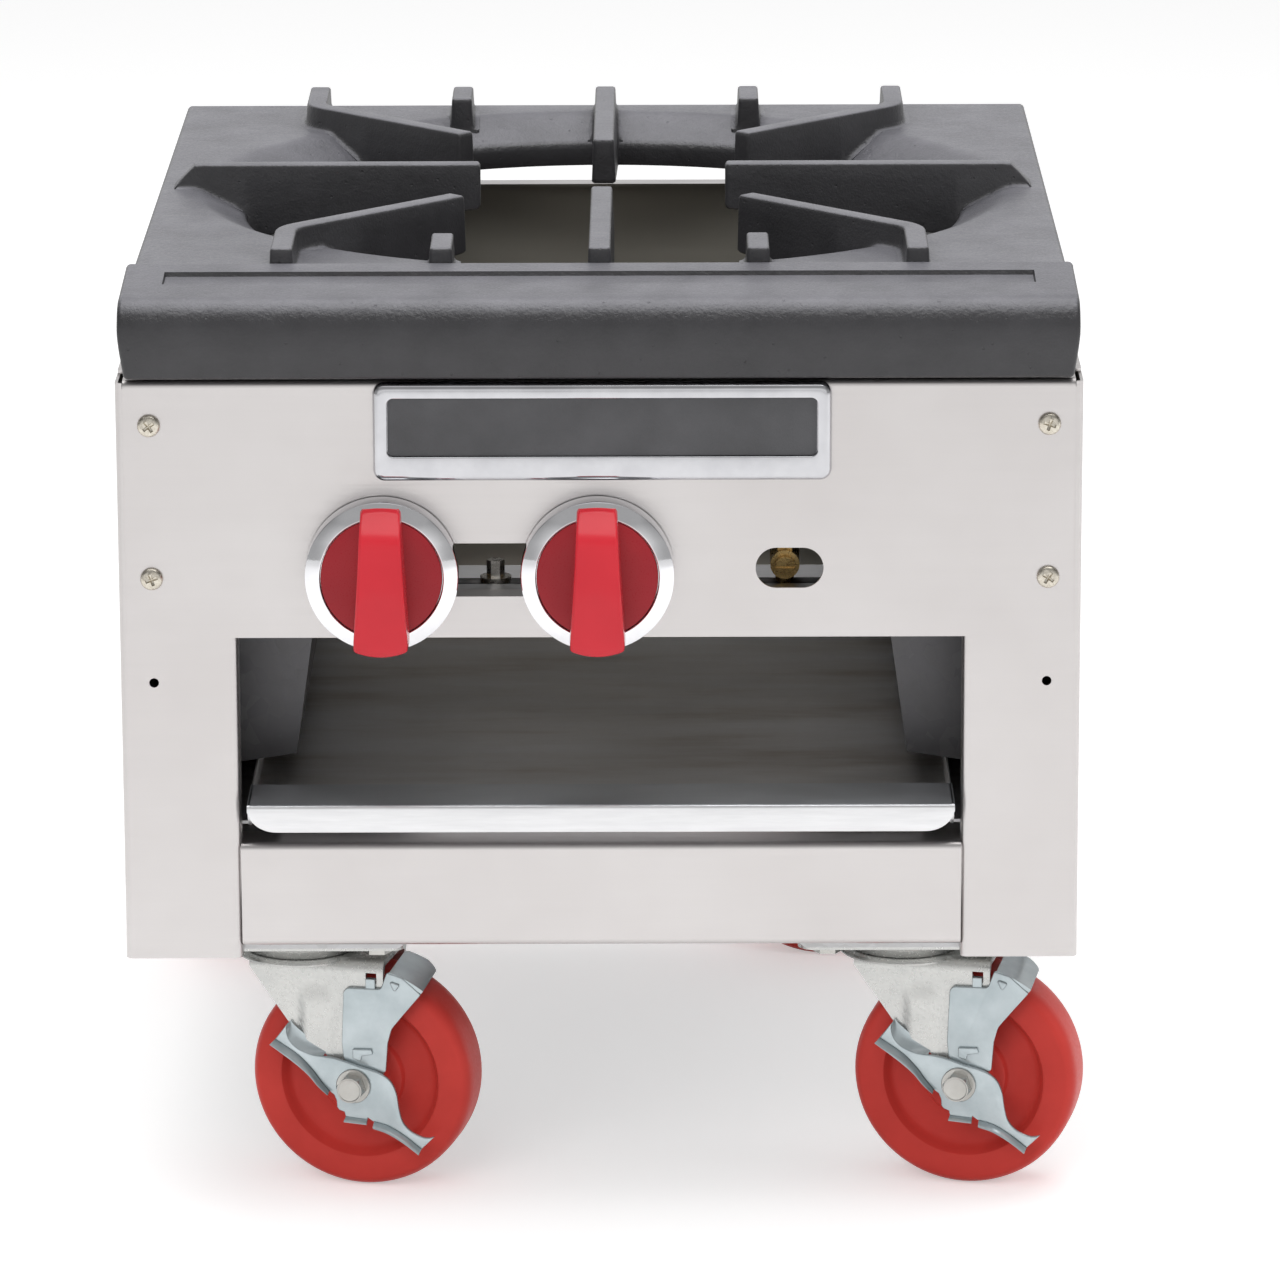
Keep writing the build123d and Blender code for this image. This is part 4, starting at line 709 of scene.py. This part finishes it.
drawn = ((0.3, (0.62, 0.62, 0.61, 1)), (0.7, (0.76, 0.76, 0.75, 1)))
pilot_tube = mottled("aluminium_tube", (300, 3, 0.6), drawn, None, (0.24, 0.36), [0.00005], Metallic=1.0)
dress(pilot_tube, "bright_tube")

# ---- Burners ---------------------------------------------------------------------------------
# Ring burner and inner burner, rough grey castings browned by the flame, carried on two steel bars
# across the body. They lift out upwards for cleaning.
flame = ((0.34, (0.050, 0.046, 0.042, 1)), (0.52, (0.085, 0.070, 0.056, 1)),
         (0.70, (0.130, 0.082, 0.052, 1)))
burner_iron = mottled("burner_casting", (24, 5, 0.6), flame, (520, 3, 0.65), (0.52, 0.72),
                      [0.0005, 0.0007], Specular_IOR_Level=0.3)
dress(burner_iron, "burner_iron")

temper = ((0.34, (0.16, 0.15, 0.15, 1)), (0.66, (0.26, 0.21, 0.17, 1)))
bar_steel = mottled("heated_bar_steel", (30, 4, 0.6), temper, (420, 3, 0.6), (0.40, 0.58),
                    [0.0001, 0.0002], Metallic=0.7)
dress(bar_steel, "burner_bar")

# ---- Drip tray -------------------------------------------------------------------------------
# Folded bright sheet that slides out on two angles: a pan, a grip ledge across its front and a
# down-turned lip with its lower corners cut to a long curve. It loses its polish where fat burns on.
TRAY_HALF, TRAY_LOW, TRAY_RIM = 168.5, 194.7, 207.6
TRAY_FRONT, TRAY_INNER, TRAY_REAR, TRAY_SHEET = -256.0, -217.0, 220.0, 1.2


def corner_rise(short):
    """Height lost near a cut corner, an ellipse 14 mm wide: depth of the lip times 1 - sqrt(1 - t^2), with t
    the share of those 14 mm already passed."""
    t = np.clip(1 - short / 14.0, 0, 0.985)
    return (TRAY_RIM - TRAY_LOW - 1.0) * (1 - np.sqrt(1 - t * t))


def pan_rings():
    """The folded sheet's section swept across the tray; below the lip's bend it is squeezed upwards by the
    corner's ellipse."""
    t, low, rim = TRAY_SHEET, TRAY_LOW, TRAY_RIM
    front, inner, rear = TRAY_FRONT, TRAY_INNER, TRAY_REAR
    section = rounded_loop(
        [(rear, rim), (rear, low), (inner - t / 2, low), (inner - t / 2, rim - t), (front + t, rim - t),
         (front + t, low - 0.5), (front, low - 0.5), (front, rim), (inner + t / 2, rim),
         (inner + t / 2, low + t), (rear - t, low + t), (rear - t, rim)],
        [0.4, 2.2, 2.2, 1.0, 1.0, 0.4, 0.4, 2.0, 2.0, 1.0, 1.0, 0.4], 5)
    near = TRAY_HALF + 0.6 - np.array([0, 0.15, 0.5, 1, 1.8, 3, 4.5, 6, 8, 10, 12, 14.5])
    x = np.concatenate([-near, np.linspace(-140, 140, 21), near[::-1]])
    rings = np.empty((len(x), len(section), 3))
    rings[..., 0] = x[:, None]
    rings[..., 1] = section[:, 0]
    edge = rim - 3.0
    below = (section[:, 0] < front + 2.5) & (section[:, 1] < edge)
    squeeze = np.clip(1 - corner_rise(TRAY_HALF + 0.6 - abs(x)) / (edge - low + 0.5), 0.03, 1)
    rings[..., 2] = np.where(below, edge + (section[:, 1] - edge) * squeeze[:, None], section[:, 1])
    return rings


def tray_wall(side):
    """Upright wall from front to rear by length and way round, its lower front corner cut like the lip's."""
    y = np.concatenate([TRAY_FRONT + 0.8 + np.array([0, 0.2, 0.6, 1.2, 2, 3, 4.5, 6, 8, 10, 12, 14.5]),
                        np.linspace(-230, TRAY_REAR - 0.3, 30)])
    low = TRAY_LOW + corner_rise(y - TRAY_FRONT - 0.8)
    inner, outer = TRAY_HALF - TRAY_SHEET + 0.3, TRAY_HALF + 0.3
    x = np.array([inner, inner, inner + 0.25, outer - 0.25, outer, outer]) * side
    high = np.array([TRAY_RIM - 0.3, TRAY_RIM - 0.3, TRAY_RIM, TRAY_RIM, TRAY_RIM - 0.3, TRAY_RIM - 0.3])
    z = np.stack([low, np.full(len(y), high[1]), np.full(len(y), high[2]), np.full(len(y), high[3]),
                  np.full(len(y), high[4]), low], -1)
    return np.stack([np.broadcast_to(x, z.shape), np.broadcast_to(y[:, None], z.shape), z], -1)


tray_sheet, tree, shader = material("tray_sheet", Metallic=0.86)
burnt = texture(tree, "ShaderNodeTexNoise", 16, 5, 0.6, stretch=(0.35, 1.6, 1))
marks = texture(tree, "ShaderNodeTexNoise", 300, 3, 0.6, stretch=(0.1, 1, 1))
place = tree.nodes.new("ShaderNodeTexCoord")
parts = tree.nodes.new("ShaderNodeSeparateXYZ")
tree.links.new(place.outputs["Object"], parts.inputs[0])
upwards = span(tree, facing(tree, 2), 0.55, 0.9)
in_pan = sums(tree, "MULTIPLY", upwards, span(tree, parts.outputs[1], -0.219, -0.214))
bright = ramp(tree, marks, (0.3, (0.68, 0.68, 0.69, 1)), (0.7, (0.78, 0.78, 0.79, 1)))
ledge = blended(tree, upwards, bright, (0.69, 0.71, 0.74, 1))
stain = ramp(tree, burnt, (0.36, (0.78, 0.77, 0.775, 1)), (0.54, (0.70, 0.675, 0.66, 1)),
             (0.70, (0.54, 0.49, 0.45, 1)))
tree.links.new(blended(tree, in_pan, ledge, stain), shader.inputs["Base Color"])
tree.links.new(ramp(tree, marks, (0.3, grey(0.30)), (0.7, grey(0.40))), shader.inputs["Roughness"])
bumps(tree, shader, (marks, 0.00002), (burnt, 0.00015))
tray = joined("drip_pan", [skin("pan", pan_rings(), smooth=50), skin("wall", tray_wall(-1), smooth=50),
                           skin("wall", tray_wall(1), smooth=50)])
finish(tray, "tray", "tray_steel", tray_sheet, "drip_tray")

# ---- Liners, runners and rails ---------------------------------------------------------------
# Galvanised sheet: heat shields beside the burner, tray runners, base rails, air shutters and the
# angle under the gas pipe. Spot-welded or screwed to the sides; the shields are painted dark grey,
# partly as heat discolour and partly as painted shade in the dim firebox.
def zinc_spangle(name, low, high, metallic, rough):
    """Crystals a few millimetres wide in slightly different greys, over a fine cloud."""
    made, tree, shader = material(name, Metallic=metallic)
    cells = tree.nodes.new("ShaderNodeTexVoronoi")
    cells.inputs["Scale"].default_value = 130
    place = tree.nodes.new("ShaderNodeTexCoord")
    tree.links.new(place.outputs["Object"], cells.inputs["Vector"])
    crystal = tree.nodes.new("ShaderNodeSeparateXYZ")
    tree.links.new(cells.outputs["Color"], crystal.inputs[0])
    cloud = texture(tree, "ShaderNodeTexNoise", 18, 4, 0.6)
    mix = sums(tree, "MULTIPLY_ADD", crystal.outputs[0], 0.35, sums(tree, "MULTIPLY", cloud, 0.65))
    tree.links.new(ramp(tree, mix, (0.3, low), (0.7, high)), shader.inputs["Base Color"])
    tree.links.new(ramp(tree, mix, (0.3, grey(rough - 0.06)), (0.7, grey(rough + 0.06))),
                   shader.inputs["Roughness"])
    bumps(tree, shader, (cloud, 0.0002))
    return made


galvanised = zinc_spangle("galvanised_sheet", (0.40, 0.40, 0.40, 1), (0.52, 0.52, 0.53, 1), 0.9, 0.40)
dress(galvanised, "galvanised")
# Dark grey sheet for the heat shields: partly heat discolour, partly painted shade for the dimly lit firebox.
shield_heat_and_shade = zinc_spangle("heat_tinted_shaded_sheet", (0.105, 0.103, 0.108, 1), (0.145, 0.142, 0.146, 1), 0.8, 0.44)
for side in ("left", "right"):
    paint(frame["nodes"][f"{side}_heat_shield"], shield_heat_and_shade)

# ---- Casters ---------------------------------------------------------------------------------
# Bolted top plate, pressed fork turning on ball races, moulded wheel on an axle bolt. The front two
# have a foot lever that cams a sliding shoe on to the tread. Plated zinc; each is drawn in its own
# frame, u along the rolling line, v across it and z up, and set on its kingpin.
AXLE = (33.0, 55.25)
LEVER_FRONT, LEVER_BACK = -27.0, -24.8
SHOE_FRONT, SHOE_BACK = -24.5, -22.3


def caster_place(corner):
    """Kingpin's place and the rolling line's turn for one corner."""
    x = -147.5 if "left" in corner else 147.5
    return (x, -185.0, math.radians(-13)) if "front" in corner else (x, 185.0, math.radians(167))


def set_down(points, corner):
    """Points (u, v, z) turned by the caster's own angle and moved to its kingpin."""
    x, y, turn = caster_place(corner)
    u, v = points[..., 0], points[..., 1]
    c, s = math.cos(turn), math.sin(turn)
    return np.stack([x + u * c - v * s, y + u * s + v * c, points[..., 2]], -1)


def turned_across(name, corner, outline, count, smooth=35):
    """Lathe work about the axle: each (radius, v) swept round in equal steps."""
    turn = np.linspace(0, 2 * math.pi, count, endpoint=False)
    rows = np.stack([np.stack([AXLE[0] + r * np.cos(turn), np.full(count, v), AXLE[1] + r * np.sin(turn)], -1)
                     for r, v in outline])
    return skin(name, set_down(rows, corner), smooth=smooth)


def wheel(corner):
    """Tread with a slight crown, rounded shoulders, flat face, dished recess and stepped hub."""
    tread = [(55.25, 0), (55.22, 6), (55.0, 10), (54.3, 12.6), (53.1, 14.5), (51.8, 15.6), (50.4, 16.0)]
    face = [(46, 16.0), (40.6, 16.0), (39.8, 15.7), (39.3, 15.0), (38.2, 12.4), (37.0, 10.4), (35.8, 9.4)]
    dish = [(34.2, 9.0), (27, 9.0), (22.4, 9.2), (21.4, 9.8), (20.8, 11.0), (20.2, 12.2), (19.2, 12.7)]
    hub = [(16, 12.9), (14.6, 13.4), (13.9, 14.6), (13.6, 17.6), (13.0, 18.5), (12.2, 18.7), (8.4, 18.7),
           (5.3, 18.7)]
    side = tread + face + dish + hub
    outline = [(r, v) for r, v in side[::-1]] + [(r, -v) for r, v in side[1:]]
    return turned_across("wheel", corner, outline, 112, 32)


def hex_bolt(corner, out, braked):
    """Axle bolt, its washer and nut: circles and hexagons by angle, the hexagon's radius being its half
    width over the cosine from the nearest flat."""
    turn = np.linspace(0, 2 * math.pi, 48, endpoint=False) - 0.2
    flat = np.cos((turn + 0.2) % (math.pi / 3) - math.pi / 6)

    def ring(radius, v, half=None):
        r = np.full(48, radius) if half is None else np.minimum(half / flat, radius)
        return np.stack([AXLE[0] + r * np.cos(turn), np.full(48, v), AXLE[1] + r * np.sin(turn)], -1)

    washer = [ring(8.2, out), ring(8.5, out - 0.2), ring(8.5, out - 1.3), ring(8.2, out - 1.6)]
    head = [ring(9, out - 1.65, 6.1), ring(9, out - 6.4, 6.1), ring(6.6, out - 7.7, 6.05),
            ring(6.2, out - 8.4), ring(5.7, out - 8.5), ring(5.2, out - 8.2), ring(3, out - 8.1),
            ring(0.2, out - 8.1)]
    nut = [ring(5.0, 22.0), ring(8.4, 22.05, 7.5), ring(9, 22.6, 7.5), ring(9, 28.2, 7.5),
           ring(7.9, 29.0, 7.5), ring(5.2, 29.0), ring(5.0, 30.6), ring(4.5, 31.0), ring(0.2, 31.0)]
    shank = [ring(4.9, out), ring(4.9, 22.0)]
    shells = [("head", washer + head), ("nut", nut), ("shank", shank)]
    if braked:
        shells.append(("spacer", [ring(5.3, -24.6), ring(5.3, -22.0)]))
    return joined("axle_bolt", [skin(n, set_down(np.stack(r), corner), smooth=28) for n, r in shells])


def along_line(points, count):
    """A line of points resampled evenly by its length."""
    points = np.asarray(points, float)
    gone = np.concatenate([[0], np.cumsum(np.linalg.norm(np.diff(points, axis=0), axis=1))])
    s = np.linspace(0, gone[-1], count)
    return np.stack([np.interp(s, gone, points[:, i]) for i in (0, 1)], -1)


def smooth_line(points, count):
    """A Catmull-Rom curve through points: on each run the cubic with slopes (next - previous) / 2."""
    p = np.asarray(points, float)
    p = np.concatenate([2 * p[:1] - p[1:2], p, 2 * p[-1:] - p[-2:-1]])
    t = np.linspace(0, 1, 9)[:-1, None]
    runs = [0.5 * (2 * b + (c - a) * t + (2 * a - 5 * b + 4 * c - d) * t ** 2
                   + (3 * b - a - 3 * c + d) * t ** 3)
            for a, b, c, d in zip(p, p[1:], p[2:], p[3:])]
    return along_line(np.concatenate(runs + [p[-2:-1]]), count)


def pressed(name, corner, outline, near, far, edge=0.5, smooth=35):
    """Flat pressing: its outline at depths from near to far, drawn in by r (1 - cos) at both faces."""
    loop = np.asarray(outline, float)
    inner = drawn_in(loop)
    inward, along = rounding(3)
    steps = [(near + edge * (1 - a), edge * i) for i, a in zip(inward[::-1], along[::-1])]
    steps += [(far - edge * (1 - a), edge * i) for i, a in zip(inward, along)]
    rows = [np.stack([(loop + inner * i)[:, 0], np.full(len(loop), v), (loop + inner * i)[:, 1]], -1)
            for v, i in steps]
    return skin(name, set_down(np.stack(rows), corner), smooth=smooth)


def lip(name, corner, inner, outer, near, far, thick=1.6):
    """Bent edge of a pressing: a sheet from one line to another, swung out in depth on a quarter sine and
    given its thickness along v, with both long edges eased."""
    a, b = smooth_line(inner, 24), smooth_line(outer, 24)
    share = np.linspace(0, 1, 6)
    flat = a[:, None] + (b - a)[:, None] * share[None, :, None]
    depth = near + (far - near) * np.sin(share * math.pi / 2)
    front = np.stack([flat[..., 0], np.broadcast_to(depth, flat.shape[:2]), flat[..., 1]], -1)
    rear = front[:, ::-1].copy()
    rear[..., 1] += thick
    return skin(name, set_down(np.concatenate([front, rear], 1), corner), caps="strip", smooth=45)


def lever(corner):
    top = [(-0.4, 84.4), (-0.7, 80.3), (1.0, 75.9), (5.0, 72.3), (11.8, 69.7), (17.5, 69.1), (23.1, 68.5),
           (29.5, 66.9), (35.9, 64.9), (42.4, 63.4), (48.0, 61.3), (51.9, 57.9), (54.3, 52.3), (55.6, 44.2),
           (57.6, 37.8), (62.1, 33.3), (68.5, 30.9), (73.3, 31.7)]
    right = [(66.8, 25.0), (58.1, 31.4), (50.1, 35.7), (43.0, 37.4)]
    foot = [(42.4, 37.4), (39.8, 39.2), (39.6, 38.2), (28.6, 38.9), (28.0, 41.3), (25.4, 42.2), (24.3, 43.6),
            (24.1, 46.9)]
    left = [(22.9, 49.8), (20.5, 51.6), (16.5, 56.2), (11.7, 62.4), (4.6, 69.2), (-6.6, 76.2)]
    outline = np.concatenate([smooth_line(top, 70), smooth_line(right, 20), np.array(foot),
                              smooth_line(left, 24)])
    sheet = pressed("lever_sheet", corner, outline, LEVER_FRONT, LEVER_BACK, 0.6)
    left_edge = [(-8.4, 74.4), (3.6, 66.2), (10.9, 60.2), (16.0, 54.4), (20.6, 50.4)]
    right_edge = [(43.3, 35.0), (50.8, 32.8), (58.9, 28.3), (66.2, 23.0)]
    tab, tab_edge = [(28.6, 38.9), (34, 38.6), (39.6, 38.3)], [(28.2, 36.9), (34, 36.6), (39.8, 36.3)]
    brow_edge = [(0.6, 85.4), (1.8, 83.6), (5.0, 80.8), (9.4, 77.6), (14.2, 74.4), (18.6, 71.0)]
    lips = [lip("lever_lip", corner, left[::-1][:-1], left_edge, LEVER_FRONT, LEVER_FRONT - 3.6),
            lip("lever_lip", corner, right[::-1], right_edge, LEVER_FRONT, LEVER_FRONT - 3.6),
            lip("lever_tab", corner, tab, tab_edge, LEVER_FRONT, LEVER_FRONT - 2.4),
            lip("lever_brow", corner, top[:6], brow_edge, LEVER_FRONT, LEVER_FRONT + 3.4, 1.2)]
    return joined("brake_lever", [sheet] + lips)


def shoe(corner):
    """Sliding plate, the pad bent over the tread by angle and depth, and two small tabs."""
    plate_line = rounded_loop(
        [(27.6, 104.0), (46.4, 104.4), (49.5, 113.0), (57.2, 110.8), (66.6, 102.9), (57.8, 92.2),
         (51.6, 84.4), (49.6, 77.0), (48.4, 61.6), (27.4, 65.8), (26.4, 76.0)],
        [3.2, 2.5, 0.8, 3, 1.2, 8, 7, 8, 1.5, 5, 20], 5)
    sheet = pressed("shoe_sheet", corner, plate_line, SHOE_FRONT, SHOE_BACK, 0.5)
    depth = np.linspace(-24.0, 13.7, 22)
    start = 55.0 + 2.0 * (depth + 24) / 38 + 6.0 * np.clip((depth - 6) / 7.7, 0, 1) ** 2
    stop = 73.0 + 1.5 * (depth + 24) / 38 - 1.5 * np.clip((depth - 10) / 3.7, 0, 1) ** 2
    a = np.radians(start[:, None] + (stop - start)[:, None] * np.linspace(0, 1, 15))

    def arc(radius):
        v = np.broadcast_to(depth[:, None], a.shape)
        return np.stack([AXLE[0] + radius * np.cos(a), v, AXLE[1] + radius * np.sin(a)], -1)

    sheet_rows = np.concatenate([arc(60.4), arc(58.6)[:, ::-1]], 1)
    pad = skin("shoe_pad", set_down(sheet_rows, corner), caps="strip", smooth=40)
    neck_line = [(38.6, 102.0), (43.4, 102.0), (43.4, 109.0), (38.6, 109.0)]
    stamp_line = rounded_loop(
        [(32.2, 73.4), (41.8, 73.8), (42.4, 71.2), (36.8, 70.0), (36.2, 67.4), (32.2, 68.6)], 0.5, 2)
    dent_line = rounded_loop([(50.5, 109.4), (56.5, 107.6), (53.5, 103.2)], 0.9, 3)
    neck = pressed("shoe_neck", corner, neck_line, SHOE_FRONT + 0.6, -20.2, 0.4)
    stamp = pressed("shoe_stamp", corner, stamp_line, SHOE_FRONT - 1.4, SHOE_FRONT + 0.2, 0.5)
    dent = pressed("shoe_dent", corner, dent_line, SHOE_FRONT - 1.2, SHOE_FRONT + 0.3, 0.8)
    return joined("brake_shoe", [sheet, pad, neck, stamp, dent])


def fork(corner, braked):
    """One pressed sheet by column and by way across: each column climbs a leg from the bottom outline to the
    bend, turns over a quarter circle, crosses the crown and comes down again. A broad flute stands out
    on each leg and fades towards the bend."""
    columns = np.concatenate([[0, 0.6], np.arange(1.5, 30.5, 1.5),
                              [32, 34, 36, 38.3, 43.7, 45.2, 46.4, 47.0]])
    low = np.interp(columns, [0, 4, 8, 13, 18, 21, 22.5, 24, 28, 33, 38.3, 43.7, 47],
                    [82.9, 79.6, 76.4, 73.0, 69.6, 66, 60, 50.5, 43.5, 41.3, 42.8, 49, 62])
    reach = np.interp(columns, [0, 30, 47], [-20.5, 30, 47])
    rise = np.array([0, 0.015, 0.1, 0.2, 0.35, 0.5, 0.65, 0.8, 0.9])
    bend = np.linspace(0, math.pi / 2, 6)
    leg_top, bend_low = 104.0, 111.5
    levels = low[:, None] + (leg_top - low)[:, None] * rise
    shoulder = np.broadcast_to([leg_top, 106.2, 108, 109.8, bend_low], (len(columns), 5))
    levels = np.concatenate([levels, shoulder], 1)
    climbed = (levels - low[:, None]) / (bend_low - low)[:, None]
    u_leg = columns[:, None] + (reach - columns)[:, None] * climbed
    rising, falling = np.clip((u_leg - 4.0) / 4.5, 0, 1), np.clip((u_leg - 19.5) / 4.5, 0, 1)
    flute = rising ** 2 * (3 - 2 * rising) * (1 - falling ** 2 * (3 - 2 * falling))
    flute = flute * np.clip((107 - levels) / 12, 0, 1) ** 1.5

    def shell(offset):
        mid = 20.5 + offset
        v_leg = -mid - 1.9 * flute
        radius = 4.5 + offset
        v_bend = np.broadcast_to(-16 - radius * np.cos(bend[1:]), (len(columns), 5))
        z_bend = np.broadcast_to(bend_low + radius * np.sin(bend[1:]), (len(columns), 5))
        u_bend = np.broadcast_to(reach[:, None], v_bend.shape)
        v = np.concatenate([v_leg, v_bend, -v_bend[:, ::-1], -v_leg[:, ::-1]], 1)
        z = np.concatenate([levels, z_bend, z_bend[:, ::-1], levels[:, ::-1]], 1)
        u = np.concatenate([u_leg, u_bend, u_bend[:, ::-1], u_leg[:, ::-1]], 1)
        return np.stack([u, v, z], -1)

    outer, inner = shell(1.5), shell(-1.5)
    rings = np.concatenate([outer, inner[:, ::-1]], 1)
    gaps = []
    if braked:
        row, total = 10, rings.shape[1]
        gaps = [(25, j, total - 2 - j) for j in (row, row + 1, row + 2)]
    sheet = skin("fork_sheet", set_down(rings, corner), caps="strip", smooth=35, gaps=gaps)
    turn = np.linspace(0, 2 * math.pi, 72, endpoint=False)
    crown = [(0.2, 114.55), (30.5, 114.55), (31.7, 114.9), (32.0, 115.8), (31.4, 116.8), (29.8, 117.35),
             (27, 117.45), (0.2, 117.45)]
    rows = np.stack([np.stack([r * np.cos(turn), r * np.sin(turn), np.full(72, z)], -1) for r, z in crown])
    return joined("fork", [sheet, skin("crown", set_down(rows, corner), smooth=30)])


def plated(name, low, high, rough):
    """Zinc plate: cloudy tints a few millimetres wide over fine drawing marks, and a painted reflection that
    darkens faces turned sideways round the bends.
    """
    made, tree, shader = material(name, Metallic=0.62)
    tint = texture(tree, "ShaderNodeTexNoise", 55, 4, 0.6)
    marks = texture(tree, "ShaderNodeTexNoise", 420, 3, 0.6)
    # Faces turned sideways blend towards dark grey: a painted reflection of dark studio sides in the bends.
    bend = span(tree, sums(tree, "ABSOLUTE", facing(tree, 0)), 0.28, 0.66, 0.0, 0.5)
    tree.links.new(blended(tree, bend, ramp(tree, tint, (0.32, low), (0.68, high)), (0.16, 0.17, 0.17, 1)),
                   shader.inputs["Base Color"])
    tree.links.new(ramp(tree, marks, (0.3, grey(rough - 0.07)), (0.7, grey(rough + 0.07))),
                   shader.inputs["Roughness"])
    bumps(tree, shader, (tint, 0.00004), (marks, 0.00002))
    return made


zinc = plated("bright_zinc", (0.57, 0.575, 0.56, 1), (0.63, 0.63, 0.61, 1), 0.24)
blue_zinc = plated("blue_zinc", (0.42, 0.48, 0.50, 1), (0.54, 0.60, 0.62, 1), 0.20)
bolt_zinc = plated("bolt_zinc", (0.46, 0.45, 0.42, 1), (0.60, 0.59, 0.56, 1), 0.20)

tread_red, tree, shader = material("moulded_wheel_red", Specular_IOR_Level=0.16)
drift = texture(tree, "ShaderNodeTexNoise", 28, 4, 0.55)
satin = texture(tree, "ShaderNodeTexNoise", 600, 3, 0.6)
tree.links.new(ramp(tree, drift, (0.3, (0.56, 0.048, 0.038, 1)), (0.7, (0.66, 0.060, 0.048, 1))),
               shader.inputs["Base Color"])
tree.links.new(ramp(tree, satin, (0.3, grey(0.34)), (0.7, grey(0.46))), shader.inputs["Roughness"])
bumps(tree, shader, (drift, 0.0002), (satin, 0.00004))

for corner in ("front_left", "front_right", "rear_left", "rear_right"):
    braked = "front" in corner
    finish(wheel(corner), f"{corner}_roller", "wheel_red", tread_red, f"{corner}_wheel")
    finish(fork(corner, braked), f"{corner}_swivel", "zinc", zinc, f"{corner}_fork")
    bolt = hex_bolt(corner, LEVER_FRONT - 0.3 if braked else -22.0, braked)
    finish(bolt, f"{corner}_swivel", "zinc", bolt_zinc, f"{corner}_axle")
    if braked:
        finish(lever(corner), f"{corner}_lever", "zinc", blue_zinc, f"{corner}_brake_lever")
        finish(shoe(corner), f"{corner}_shoe", "zinc", blue_zinc, f"{corner}_brake_shoe")
    paint(frame["nodes"][f"{corner}_caster_plate"], zinc)
paint(frame["nodes"]["caster_bolts"], bolt_zinc)
